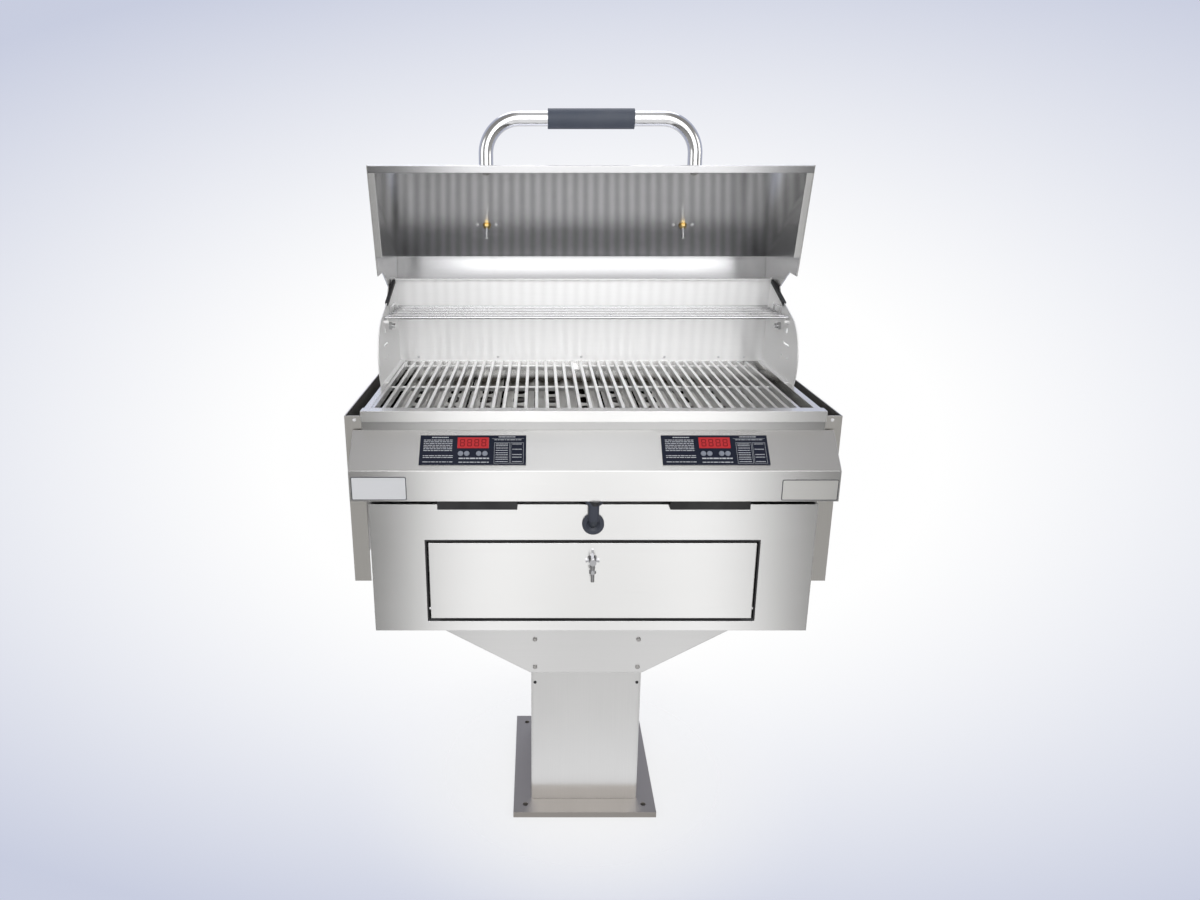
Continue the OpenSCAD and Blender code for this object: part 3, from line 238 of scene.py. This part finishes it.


# the lid's sheet: painted reflection streaks inside, and a rear panel and lip darkened by painted shade,
# most towards their ends and edges
lidFacts = {"inner": (0.0, -0.530, -0.848), "streaks": 0.24, "upper": 0.12, "rear": (0.0, -0.985, 0.172),
            "facing": (0.93, 0.96), "middle": [("X", -0.39, -0.20), ("X", 0.44, 0.25), ("Z", 1.085, 1.118)],
            "topEdge": [("Z", 1.122, 1.137), ("Z", 1.21, 1.20)], "endAndMiddleDim": (0.74, 0.50)}


def lidPaintedLight(n, coord, shade):
    f = lidFacts
    streaked = paintedReflectionStreaks(f["streaks"], f["inner"], f["upper"])(n, coord, shade)
    below = reckon(n, "SUBTRACT", 1.0, inside(n, coord, f["topEdge"]))
    middle = reckon(n, "MULTIPLY", inside(n, coord, f["middle"]), below)
    dim = remap(n, middle, results=f["endAndMiddleDim"])
    return darken(n, streaked, reckon(n, "MULTIPLY", lookingAt(n, f["rear"], f["facing"]), dim))


# painted shade: dark blotches inside the firebox, below its grates, and a greyer recess in front, under the
# rim
boxShadeFacts = {"within": [("Z", 0.874, 0.860), ("Z", 0.7425, 0.7445), ("Y", -0.188, -0.184),
                         ("Y", 0.2635, 0.2625), ("X", -0.420, -0.417), ("X", 0.420, 0.417)],
              "paintedDark": ((0.030, 0.027, 0.024), (0.085, 0.078, 0.068)), "patches": (18.0, 4.0),
              "recess": [("Z", 0.8850, 0.8838), ("Y", -0.199, -0.201)], "recessDim": 0.38}


def boxShade(n, coord, shade):
    f = boxShadeFacts
    paintedDark = blend(n, noise(n, coord, *f["patches"]), *f["paintedDark"])
    shadedInside = blend(n, inside(n, coord, f["within"]), shade, paintedDark)
    return darken(n, shadedInside, reckon(n, "MULTIPLY", inside(n, coord, f["recess"]), f["recessDim"]))


# the grain's lines, wipe marks, clouds and swell, and what each of them does; lines and wipe marks
# are drawn out by (scale along, scale across) the grain
sheetFacts = {"lines": (1.0, 3.0, 0.65), "lineScales": (6.0, 2400.0), "wipes": (1.0, 4.0, 0.5, 0.6),
              "wipeScales": (9.0, 40.0), "clouds": (3.1, 3.0), "swell": (4.5, 1.0),
              "lineSpan": (0.25, 0.75), "lineTone": (0.96, 1.025), "lineRough": (0.93, 1.07),
              "wipeSpan": (0.35, 0.7), "wipeRough": (-0.004, 0.008), "foldRadius": 0.0013,
              "foldSamples": 4, "swellDepth": 0.02, "lineDepth": 0.0004, "askew": (0.02, 0.03)}


# brushed sheet: grain runs along one axis, with long soft clouds and faint wipe marks over it
def brushedSteel(name, colour, rough, grain, cloud=0.02, bump=0.02, stretch=0.80, wave=0.015,
                 metal=1.0, paintedLight=None):
    f = sheetFacts
    material, n = newMaterial(name)
    coord = n.add("ShaderNodeTexCoord").outputs["Object"]

    def drawnOut(alongScale, acrossScale):
        scales = tuple(alongScale if axis == grain else acrossScale for axis in "xyz")
        return n.add("ShaderNodeMapping", {"Vector": coord, "Scale": scales}).outputs[0]

    lines = noise(n, drawnOut(*f["lineScales"]), *f["lines"])
    wipes = noise(n, drawnOut(*f["wipeScales"]), *f["wipes"])
    tone = blend(n, noise(n, coord, *f["clouds"]), tuple(c * (1.0 - cloud) for c in colour),
                 tuple(min(1.0, c * (1.0 + cloud)) for c in colour))
    shade = scaled(n, tone, remap(n, lines, f["lineSpan"], f["lineTone"]))
    # painted light laid on the colour where a finish has it: reflection streaks and painted shade
    if paintedLight:
        shade = paintedLight(n, coord, shade)
    roughness = reckon(n, "ADD", remap(n, lines, results=[rough * share for share in f["lineRough"]]),
                       remap(n, wipes, f["wipeSpan"], f["wipeRough"]))
    # folds and cut edges catch light, and a slow swell under the grain bends what the sheet reflects
    fold = n.add("ShaderNodeBevel", {"Radius": f["foldRadius"]}, samples=f["foldSamples"]).outputs[0]
    bowed = raised(n, noise(n, coord, *f["swell"]), wave, f["swellDepth"], fold)
    # highlights stretch across the grain, so the tangent is the face's normal crossed with the grain,
    # which is a little askew so that no face has it as its normal
    askew = list(f["askew"])
    axis = tuple(1.0 if letter == grain else askew.pop(0) for letter in "xyz")
    across = n.add("ShaderNodeVectorMath", {0: n.add("ShaderNodeNewGeometry").outputs["True Normal"],
                                            1: axis}, operation="CROSS_PRODUCT").outputs[0]
    body = n.add("ShaderNodeBsdfPrincipled", {
        "Base Color": shade, "Metallic": metal, "Roughness": roughness, "Anisotropic": stretch,
        "Tangent": across, "Normal": raised(n, lines, bump, f["lineDepth"], bowed)})
    finishMaterial(n, body.outputs[0])
    return material


# polished tube and rod: soft smudges only
polishFacts = {"smudge": (26.0, 4.0), "scratch": (420.0, 2.0), "darkest": 0.94, "roughSpan": (0.7, 1.4),
               "strength": 0.03, "depth": 0.0003}


def brightSteel(name, colour, rough):
    f = polishFacts
    material, n = newMaterial(name)
    coord = n.add("ShaderNodeTexCoord").outputs["Object"]
    smudge = noise(n, coord, *f["smudge"])
    body = n.add("ShaderNodeBsdfPrincipled", {
        "Base Color": blend(n, smudge, tuple(c * f["darkest"] for c in colour), tuple(colour)),
        "Metallic": 1.0, "Roughness": remap(n, smudge, results=[rough * share for share in f["roughSpan"]]),
        "Normal": raised(n, noise(n, coord, *f["scratch"]), f["strength"], f["depth"])})
    finishMaterial(n, body.outputs[0])
    return material


# rubber, plastic and film: fine grain, faint dust and small changes of gloss
dullFacts = {"grain": (900.0, 3.0), "patch": (14.0, 5.0), "dustTone": 0.45, "dustShare": 0.5,
             "dustSpan": (0.4, 0.75), "roughSpan": (0.85, 1.15), "depth": 0.0003}


def dullSurface(name, colour, rough, bump=0.15, dust=0.12, shine=0.35):
    f = dullFacts
    material, n = newMaterial(name)
    coord = n.add("ShaderNodeTexCoord").outputs["Object"]
    patch = noise(n, coord, *f["patch"])
    dusty = tuple(c + dust * (f["dustTone"] - c) * f["dustShare"] for c in colour)
    body = n.add("ShaderNodeBsdfPrincipled", {
        "Base Color": blend(n, remap(n, patch, f["dustSpan"]), tuple(colour), dusty),
        "Roughness": remap(n, patch, results=[min(1.0, rough * share) for share in f["roughSpan"]]),
        "Specular IOR Level": shine,
        "Normal": raised(n, noise(n, coord, *f["grain"]), bump, f["depth"])})
    finishMaterial(n, body.outputs[0])
    return material


# clear lens with a faint smear
glassFacts = {"colour": (0.93, 0.96, 0.97, 1.0), "bend": 1.45, "smear": (60.0, 3.0),
              "roughSpan": (0.01, 0.06)}


def glassSurface(name):
    f = glassFacts
    material, n = newMaterial(name)
    coord = n.add("ShaderNodeTexCoord").outputs["Object"]
    body = n.add("ShaderNodeBsdfPrincipled", {
        "Base Color": f["colour"], "IOR": f["bend"], "Transmission Weight": 1.0,
        "Roughness": remap(n, noise(n, coord, *f["smear"]), results=f["roughSpan"])})
    finishMaterial(n, body.outputs[0])
    return material


def paint(material, *names):
    for name in names:
        slots = nodes[name].data.materials
        slots.clear()
        slots.append(material)


makeCamera()
makeLamps()
makeWorld()
print("camera, lamps and world made")

# one finish for each of the record's slots
finishes = {
    "satin_steel": brushedSteel("satinSteel", (0.77, 0.767, 0.762), 0.25, "x"),
    # the lid's finish carries painted reflection streaks and painted shade
    "lid_steel": brushedSteel("lidSteel", (0.965, 0.965, 0.985), 0.26, "x", bump=0.01, stretch=0.93,
                              wave=0.01, paintedLight=lidPaintedLight),
    "plate_steel": brushedSteel("plateSteel", (0.46, 0.46, 0.465), 0.42, "y", cloud=0.10),
    "screw_steel": brightSteel("screwSteel", (0.46, 0.45, 0.44), 0.34),
    "bright_steel": brightSteel("brightSteel", (0.68, 0.68, 0.69), 0.15),
    "chrome_fitting": brightSteel("chromeFitting", (0.46, 0.46, 0.475), 0.10),
    "black_rubber": dullSurface("blackRubber", (0.018, 0.018, 0.020), 0.62),
    "black_plastic": dullSurface("blackPlastic", (0.022, 0.023, 0.026), 0.42),
    "dark_conduit": dullSurface("darkConduit", (0.035, 0.042, 0.058), 0.40),
    "sleeve_rubber": dullSurface("sleeveRubber", (0.070, 0.082, 0.112), 0.55, bump=0.25),
    "element_sheath": brushedSteel("elementSheath", (0.20, 0.19, 0.185), 0.45, "x", cloud=0.2),
    "plate_grey": brushedSteel("plateGrey", (0.56, 0.555, 0.54), 0.42, "y", cloud=0.08),
    "grate_steel": brushedSteel("grateSteel", (0.90, 0.90, 0.90), 0.30, "y", cloud=0.05),
    "tray_steel": brushedSteel("traySteel", (0.58, 0.58, 0.59), 0.34, "x"),
    "panel_black": dullSurface("panelBlack", (0.011, 0.014, 0.028), 0.42, bump=0.03, dust=0.03,
                               shine=0.12),
    "window_red": dullSurface("windowRed", (0.50, 0.030, 0.036), 0.32, bump=0.02, dust=0.02,
                              shine=0.2),
    "button_grey": dullSurface("buttonGrey", (0.22, 0.24, 0.29), 0.38, bump=0.08),
    "lens_glass": glassSurface("lensGlass"),
    "needle_black": dullSurface("needleBlack", (0.015, 0.015, 0.016), 0.45),
    "nut_brass": brightSteel("nutBrass", (0.72, 0.53, 0.22), 0.26),
}
for node in nodes.values():
    slotName = node.data.materials[0].name.split(".")[0]
    node.data.materials.clear()
    node.data.materials.append(finishes[slotName])
# where the photo shows a sheet's grain upright, or a sheet that the light washes out
paint(brushedSteel("uprightSteel", (0.78, 0.777, 0.775), 0.30, "z"), "post", "post_cover")
paint(brushedSteel("skinSteel", (0.58, 0.565, 0.54), 0.32, "z"), "side_skin_left", "side_skin_right")
paint(brushedSteel("gussetSteel", (0.61, 0.607, 0.605), 0.30, "x"), "gusset_front", "gusset_rear")
# the firebox's finish carries painted shade below its grates and in its front recess
paint(brushedSteel("boxSteel", (0.80, 0.797, 0.79), 0.26, "x", paintedLight=boxShade), "firebox")
paint(brightSteel("rackWire", (0.66, 0.66, 0.67), 0.20), "warming_rack", "rack_bails")
paint(dullSurface("screwGlint", (0.72, 0.72, 0.74), 0.35, bump=0.05, dust=0.05, shine=0.8),
      "thermometer_screws", "wall_rivets", "skin_screws")
paint(dullSurface("darkScrew", (0.03, 0.03, 0.032), 0.45, dust=0.05), "cover_screws")
# faint painted reflection streaks on the faces of these sheets that look forward
paint(brushedSteel("wallSteel", (0.98, 0.98, 0.985), 0.42, "x", bump=0.01, stretch=0.9, wave=0.01,
                   metal=0.55, paintedLight=paintedReflectionStreaks(0.06, (0.0, -0.993, -0.12))),
      "back_wall", "cheek_left", "cheek_right")
paint(brushedSteel("footSteel", (0.335, 0.312, 0.292), 0.40, "y", cloud=0.05, metal=0.8), "base_plate")
print("finishes on", len(nodes), "nodes")


# puts whole arrays of points and faces into a mesh that rides on a body
def addPiece(name, points, faces, material, body):
    mesh = bpy.data.meshes.new(name)
    mesh.from_pydata(np.asarray(points, float).reshape(-1, 3).tolist(), [], faces)
    mesh.materials.append(material)
    piece = bpy.data.objects.new(name, mesh)
    bpy.context.scene.collection.objects.link(piece)
    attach(piece, body)
    return piece


# a grid of m by n points as quads; closed grids join their last column to the first
def gridFaces(m, n, closed=False):
    i, j = np.meshgrid(np.arange(m - 1), np.arange(n if closed else n - 1), indexing="ij")
    k = (j + 1) % n
    return np.stack([i * n + j, i * n + k, (i + 1) * n + k, (i + 1) * n + j], -1).reshape(-1, 4).tolist()


# many thin tablets at once: each row of boxes is (low x, high x, low y, high y), and a tablet is its
# eight corners, low and high in each direction, with five faces
def tabletMesh(boxes, low, high, place):
    b = np.asarray(boxes, float)
    x = b[:, [0, 1, 1, 0, 0, 1, 1, 0]]
    y = b[:, [2, 2, 3, 3, 2, 2, 3, 3]]
    h = np.broadcast_to(np.array([low] * 4 + [high] * 4), x.shape)
    sides = np.array([[4, 5, 6, 7], [0, 1, 5, 4], [1, 2, 6, 5], [2, 3, 7, 6], [3, 0, 4, 7]])
    faces = (np.arange(len(b))[:, None, None] * 8 + sides).reshape(-1, 4)
    return place(x, y, h), faces.tolist()


# the console's slanted face, from its lower edge in (y, z), and the control panels that lie on it
slopeFacts = {"start": (-0.266, 0.812), "rise": 0.056, "run": 0.060, "panelX": 0.216,
              "panelLow": 0.012, "panelHeight": 0.060, "panelWidth": 0.190, "panelTop": 0.0020}


# a point x along the console, v up its slanted face and h off it: the face leans back by its slope
def onSlope(x, v, h):
    t = math.atan2(slopeFacts["rise"], slopeFacts["run"])
    y0, z0 = slopeFacts["start"]
    return np.stack([x, y0 + v * math.cos(t) - h * math.sin(t),
                     z0 + v * math.sin(t) + h * math.cos(t)], -1)


# bare print on the control panels: rules, boxes and rows of short dashes, which say nothing
# rows are (left, right, share of the dash's height, heights up the panel, first dash of each), and
# boxes are (left, right, low, high), all in shares of the panel
printFacts = {"thick": 0.00012, "lift": 0.00002, "dash": 0.0013, "rule": 0.0004,
              "dashes": (0.19, 0.33, 0.12, 0.26, 0.41, 0.16, 0.29, 0.22), "gap": 0.045,
              "rows": [(0.11, 0.27, 1.3, (0.925,), (3,)),
                       (0.035, 0.31, 1.0, (0.835, 0.775, 0.715, 0.655, 0.595, 0.535, 0.475), range(7)),
                       (0.035, 0.32, 1.0, (0.30, 0.24, 0.09), (2, 5, 4)),
                       (0.37, 0.66, 1.9, (0.21,), (1,)), (0.37, 0.66, 1.2, (0.08,), (6,)),
                       (0.74, 0.90, 1.3, (0.945,), (2,)), (0.70, 0.96, 1.0, (0.845,), (7,)),
                       (0.715, 0.83, 1.0, (0.70, 0.64, 0.56, 0.48, 0.40, 0.33, 0.25, 0.18, 0.10), range(9)),
                       (0.87, 0.96, 1.0, (0.70, 0.52, 0.34, 0.25, 0.10), range(5))],
              "boxes": [(0.70, 0.845, 0.04, 0.75), (0.855, 0.975, 0.04, 0.75), (0.68, 0.98, 0.885, 0.892)]}


# a row of dashes between two shares of the panel's width, at one share of its height
def dashRow(left, right, up, height, start):
    w, hgt = slopeFacts["panelWidth"], slopeFacts["panelHeight"]
    lengths = np.roll(np.array(printFacts["dashes"]), -start)
    ends = np.cumsum(lengths + printFacts["gap"])
    ends = ends / ends[-1]
    starts = np.concatenate([[0.0], ends[:-1]])
    stops = ends - printFacts["gap"] * 0.5
    x0 = (left + starts * (right - left) - 0.5) * w
    x1 = (left + stops * (right - left) - 0.5) * w
    v = slopeFacts["panelLow"] + up * hgt
    return np.stack([x0, x1, np.full_like(x0, v - height / 2), np.full_like(x0, v + height / 2)], -1)


# a thin box outline between shares of the panel: two long and two short rules
def ruledBox(left, right, low, high):
    w, hgt, t = slopeFacts["panelWidth"], slopeFacts["panelHeight"], printFacts["rule"]
    x0, x1 = (left - 0.5) * w, (right - 0.5) * w
    v0, v1 = slopeFacts["panelLow"] + low * hgt, slopeFacts["panelLow"] + high * hgt
    return np.array([[x0, x1, v0, v0 + t], [x0, x1, v1 - t, v1], [x0, x0 + t, v0 + t, v1 - t],
                     [x1 - t, x1, v0 + t, v1 - t]])


# one panel's rows and boxes as tablets, moved to the panel at each side of the console
def makePanelPrint():
    rows = [dashRow(left, right, up, share * printFacts["dash"], start)
            for left, right, share, ups, starts in printFacts["rows"] for up, start in zip(ups, starts)]
    rows += [ruledBox(*box) for box in printFacts["boxes"]]
    boxes = np.concatenate(rows)
    low, high = (slopeFacts["panelTop"] + printFacts[key] for key in ("lift", "thick"))
    white = dullSurface("printWhite", (0.50, 0.52, 0.56), 0.5, bump=0.02, dust=0.02, shine=0.2)
    for side, name in ((-1, "panelPrintLeft"), (1, "panelPrintRight")):
        shifted = boxes + np.array([side * slopeFacts["panelX"]] * 2 + [0.0, 0.0])
        points, faces = tabletMesh(shifted, low, high, onSlope)
        addPiece(name, points, faces, white, "pedestal")


makePanelPrint()

digitFacts = {"count": 4, "width": 0.0088, "height": 0.0150, "pitch": 0.0128, "bar": 0.0018,
              "middleUp": 0.0564, "windowTop": 0.0023, "lift": 0.00001, "thick": 0.00012}


# unlit seven-bar digits: each bar is a tablet at its share of the digit's width and height
def makeDigits():
    f = digitFacts
    w, h, t = f["width"] / 2, f["height"] / 2, f["bar"] / 2
    level = [[-w + t, w - t, low, low + 2 * t] for low in (h - 2 * t, -t, -h)]
    upright = [[x, x + 2 * t, low, low + h - 2 * t] for low in (t, -h + t) for x in (-w, w - 2 * t)]
    bars = np.array(level + upright)
    across = (np.arange(f["count"]) - (f["count"] - 1) / 2) * f["pitch"]
    up = np.full(f["count"], f["middleUp"])
    boxes = (bars[None] + np.stack([across, across, up, up], -1)[:, None]).reshape(-1, 4)
    dim = dullSurface("digitBars", (0.20, 0.010, 0.014), 0.35, bump=0.02, dust=0.02, shine=0.2)
    for side, name in ((-1, "digitsLeft"), (1, "digitsRight")):
        moved = boxes + np.array([side * slopeFacts["panelX"]] * 2 + [0.0, 0.0])
        points, faces = tabletMesh(moved, f["windowTop"] + f["lift"], f["windowTop"] + f["thick"], onSlope)
        addPiece(name, points, faces, dim, "pedestal")


makeDigits()
print("panel print and digits made")

# two bare label plates on the console's upright face: (side, middle x, middle z, half width, half
# height); the edge's profile is (inset, share of the thickness off the face), and the film lies
# just inside the edge and a little below its top
labelFacts = {"faceY": -0.266, "corner": 0.003, "thick": 0.0005, "corners": 6,
              "profile": ((0.0, 0.00002), (0.0, 0.8), (0.0002, 1.0), (0.0014, 1.0), (0.0014, 0.7)),
              "film": (0.00126, 0.72),
              "places": (("Left", -0.3822, 0.7792, 0.0490, 0.0218),
                         ("Right", 0.3825, 0.7765, 0.0500, 0.0195))}


# rounded rectangle: at each corner a quarter circle of the corner radius less the inset, about the
# same corner centre, so every inset gives the same number of points
def roundedOutline(halfWidth, halfHeight, corner, inset, count):
    turn = np.linspace(0.0, math.pi / 2, count)
    angles = (turn[None] + np.arange(4)[:, None] * math.pi / 2).ravel()
    signX = np.repeat([1, -1, -1, 1], count)
    signZ = np.repeat([1, 1, -1, -1], count)
    return (signX * (halfWidth - corner) + (corner - inset) * np.cos(angles),
            signZ * (halfHeight - corner) + (corner - inset) * np.sin(angles))


# each plate: its edge is one rounded outline to a step of the profile, joined by quads, and its film
# is one more outline, filled
def makeLabels():
    f = labelFacts
    pale = dullSurface("labelFilm", (0.66, 0.67, 0.70), 0.45, bump=0.03, dust=0.05)
    dark = dullSurface("labelEdge", (0.045, 0.048, 0.058), 0.5, bump=0.05, dust=0.04)
    film = brushedSteel("labelSteel", (0.62, 0.615, 0.60), 0.42, "x")
    count = 4 * f["corners"]
    for name, x, z, halfWidth, halfHeight in f["places"]:
        rings = []
        for inset, height in f["profile"] + (f["film"],):
            ox, oz = roundedOutline(halfWidth, halfHeight, f["corner"], inset, f["corners"])
            rings.append(np.stack([x + ox, np.full_like(ox, f["faceY"] - height * f["thick"]), z + oz], -1))
        addPiece("labelEdge" + name, np.stack(rings[:-1]), gridFaces(len(rings) - 1, count, closed=True),
                 dark, "pedestal")
        addPiece("labelFilm" + name, rings[-1], [list(range(count))[::-1]],
                 pale if name == "Left" else film, "pedestal")


makeLabels()
print("label plates made")

# the conduit's sleeve, widest under the console, and the cap that closes the grommet's ring
sleeveFacts = {"y": -0.2580, "power": 0.45, "around": 40,
               "rings": ((0.7550, 0.0155, 0.0080), (0.7515, 0.0155, 0.0085), (0.7485, 0.0138, 0.0088),
                         (0.7460, 0.0104, 0.0088), (0.7430, 0.0098, 0.0088), (0.7180, 0.0096, 0.0086),
                         (0.7150, 0.0090, 0.0080))}
capFacts = {"middle": (0.0, 0.7062), "around": 64,
            "profile": ((0.0072, -0.2535), (0.0110, -0.2550), (0.0128, -0.2562), (0.0180, -0.2562),
                        (0.0198, -0.2550), (0.0201, -0.2500))}


# each ring is a soft-cornered oblong: x = half width * cos^p t, y = half depth * sin^p t, signs kept
def makeConduitParts():
    navy = dullSurface("sleeveNavy", (0.040, 0.046, 0.066), 0.42, bump=0.06, dust=0.06)
    f = sleeveFacts
    t = np.linspace(0.0, 2.0 * math.pi, f["around"], endpoint=False)
    z, w, d = np.array(f["rings"]).T[:, :, None]
    x = w * np.sign(np.cos(t)) * np.abs(np.cos(t)) ** f["power"]
    y = f["y"] + d * np.sign(np.sin(t)) * np.abs(np.sin(t)) ** f["power"]
    points = np.stack([x, y, np.broadcast_to(z, x.shape)], -1)
    count = f["around"]
    faces = [face[::-1] for face in gridFaces(len(f["rings"]), count, closed=True)]
    last = (len(f["rings"]) - 1) * count
    faces += [list(range(count)), [last + k for k in range(count)][::-1]]
    addPiece("conduitSleeve", points, faces, navy, "pedestal")
    # cap: its profile of (radius, y) turned about the grommet's axis
    g = capFacts
    a = np.linspace(0.0, 2.0 * math.pi, g["around"], endpoint=False)
    r, deep = np.array(g["profile"]).T[:, :, None]
    points = np.stack([g["middle"][0] + r * np.cos(a), np.broadcast_to(deep, (len(r), len(a))),
                       g["middle"][1] + r * np.sin(a)], -1)
    addPiece("grommetCap", points, gridFaces(len(g["profile"]), g["around"], closed=True), navy,
             "pedestal")


makeConduitParts()
print("conduit sleeve and grommet cap made")

# painted shade: dark discs in the base plate's four anchor holes, half their spacing to each side of the
# middle
holeFacts = {"x": 0.1270, "y": 0.1490, "radius": 0.0053, "z": 0.0020, "around": 32}


# four flat rounds: x = centre + r cos t, y = centre + r sin t
def makeHoleShade():
    f = holeFacts
    t = np.linspace(0.0, 2.0 * math.pi, f["around"], endpoint=False)
    cx = np.array([1, 1, -1, -1])[:, None] * f["x"]
    cy = np.array([1, -1, 1, -1])[:, None] * f["y"]
    x, y = cx + f["radius"] * np.cos(t), cy + f["radius"] * np.sin(t)
    faces = np.arange(4 * f["around"]).reshape(4, -1).tolist()
    shadedGround = dullSurface("holeShade", (0.030, 0.028, 0.026), 0.8, bump=0.3, dust=0.1)
    addPiece("holeShade", np.stack([x, y, np.full_like(x, f["z"])], -1), faces, shadedGround, "pedestal")


makeHoleShade()
print("anchor holes' ground made")

# dials: the face's rings are (radius, share of the sheet's thickness), and the band is (start, end) of
# the sweep and (inner, outer) radius
dialFacts = {"middle": (0.19955, 1.21152), "normal": (0.53026, 0.84783), "x": 0.209, "floor": 0.0020,
             "sheet": 0.00025, "ink": 0.00005, "around": 96,
             "rings": ((0.0040, 1.0), (0.012, 1.0), (0.022, 1.0), (0.0316, 1.0), (0.0316, 0.1)),
             "ticks": 28, "longEvery": 4, "sweep": 270.0, "tickOut": 0.0290, "tickIn": 0.0245,
             "longIn": 0.0225, "tickHalf": 0.00035, "longHalf": 0.0006,
             "bandSweep": (0.3, 0.5), "bandRadius": (0.0192, 0.0212), "bandPoints": 24}


# a point on a dial: x across, a along the lid away from its lip and h out of the lid
def onDial(side, x, a, h):
    (y0, z0), (ny, nz) = dialFacts["middle"], dialFacts["normal"]
    return np.stack([side * dialFacts["x"] + x, y0 + a * nz + h * ny, z0 - a * ny + h * nz], -1)


# face: rings at radius r and angle t; ticks: quads half a width to each side of their angle, from an
# inner to an outer radius; the warm band over the hottest fifth of the sweep: two arcs
def makeDials():
    f = dialFacts
    face = dullSurface("dialFace", (0.78, 0.78, 0.75), 0.45, bump=0.02, dust=0.06)
    ink = dullSurface("dialInk", (0.02, 0.02, 0.022), 0.5, bump=0.02, dust=0.02)
    warm = dullSurface("dialBand", (0.55, 0.06, 0.03), 0.45, bump=0.02, dust=0.03)
    t = np.linspace(0.0, 2 * math.pi, f["around"], endpoint=False)
    r, share = np.array(f["rings"]).T[:, :, None]
    h = np.broadcast_to(share * f["sheet"] + f["floor"], (len(r), len(t)))
    lift = f["floor"] + f["sheet"] + f["ink"]
    turn = np.radians(np.linspace(-f["sweep"] / 2, f["sweep"] / 2, f["ticks"] + 1))
    long = np.arange(f["ticks"] + 1) % f["longEvery"] == 0
    inner, outer = np.where(long, f["longIn"], f["tickIn"]), np.full(len(turn), f["tickOut"])
    half = np.where(long, f["longHalf"], f["tickHalf"])
    radial, across = np.stack([inner, inner, outer, outer]), np.stack([-half, half, half, -half])
    tickX = (radial * np.sin(turn) + across * np.cos(turn)).T
    tickA = (radial * np.cos(turn) - across * np.sin(turn)).T
    tickFaces = np.arange(4 * len(turn)).reshape(-1, 4).tolist()
    w = np.radians(f["sweep"] * np.linspace(*f["bandSweep"], f["bandPoints"]))
    band = np.array(f["bandRadius"])[:, None]
    for side, name in ((-1, "Left"), (1, "Right")):
        points = onDial(side, r * np.cos(t), r * np.sin(t), h)
        addPiece("dialFace" + name, points, gridFaces(len(r), len(t), closed=True), face, "lid")
        points = onDial(side, -tickX, -tickA, np.full(tickX.shape, lift))
        addPiece("dialTicks" + name, points, tickFaces, ink, "lid")
        points = onDial(side, -band * np.sin(w), -band * np.cos(w), np.full((2, len(w)), lift))
        addPiece("dialBand" + name, points, gridFaces(2, len(w)), warm, "lid")


makeDials()
print("dials made")

# the floor: a pale matte round that holds the shadow and fades into the backdrop between the two
# clear distances; its own light is a share of plain white, for what the camera and the metal see
floorFacts = {"radius": 2.4, "hub": 0.02, "rings": 24, "spokes": 72, "clear": (0.12, 0.56),
              "level": -0.0005, "colour": (0.84, 0.85, 0.87), "darkest": 0.98, "scuffs": (6.0, 6.0),
              "rough": 0.8, "shine": 0.1, "ownLight": 0.72}


# points at radius r and angle a: x = r cos a, y = r sin a, round a many-sided hub
def makeFloor():
    f = floorFacts
    r, a = np.meshgrid(np.linspace(f["hub"], f["radius"], f["rings"]),
                       np.linspace(0.0, 2.0 * math.pi, f["spokes"], endpoint=False), indexing="ij")
    points = np.stack([r * np.cos(a), r * np.sin(a), np.full_like(r, f["level"])], -1).reshape(-1, 3)
    quads = [face[::-1] for face in gridFaces(f["rings"], f["spokes"], closed=True)]
    mesh = bpy.data.meshes.new("floor")
    mesh.from_pydata(points.tolist(), [], quads + [list(range(f["spokes"]))])
    floor = bpy.data.objects.new("floor", mesh)
    bpy.context.scene.collection.objects.link(floor)
    material, n = newMaterial("floorSheet")
    coord = n.add("ShaderNodeTexCoord").outputs["Object"]
    tone = blend(n, noise(n, coord, *f["scuffs"]), tuple(c * f["darkest"] for c in f["colour"]),
                 f["colour"])
    matte = n.add("ShaderNodeBsdfPrincipled", {"Base Color": tone, "Roughness": f["rough"],
                                               "Specular IOR Level": f["shine"]})
    rays = n.add("ShaderNodeLightPath").outputs
    seen = reckon(n, "MAXIMUM", reckon(n, "MAXIMUM", rays["Is Camera Ray"], rays["Is Glossy Ray"]),
                  rays["Is Transmission Ray"])
    white = n.add("ShaderNodeEmission", {"Color": (1.0, 1.0, 1.0, 1.0), "Strength": 1.0})
    lit = n.add("ShaderNodeMixShader", {0: reckon(n, "MULTIPLY", seen, f["ownLight"]),
                                        1: matte.outputs[0], 2: white.outputs[0]})
    far = n.add("ShaderNodeVectorMath", {0: coord}, operation="LENGTH").outputs["Value"]
    clear = n.add("ShaderNodeBsdfTransparent")
    finishMaterial(n, n.add("ShaderNodeMixShader", {0: remap(n, far, f["clear"], soft=True),
                                                    1: lit.outputs[0], 2: clear.outputs[0]}).outputs[0])
    mesh.materials.append(material)


makeFloor()
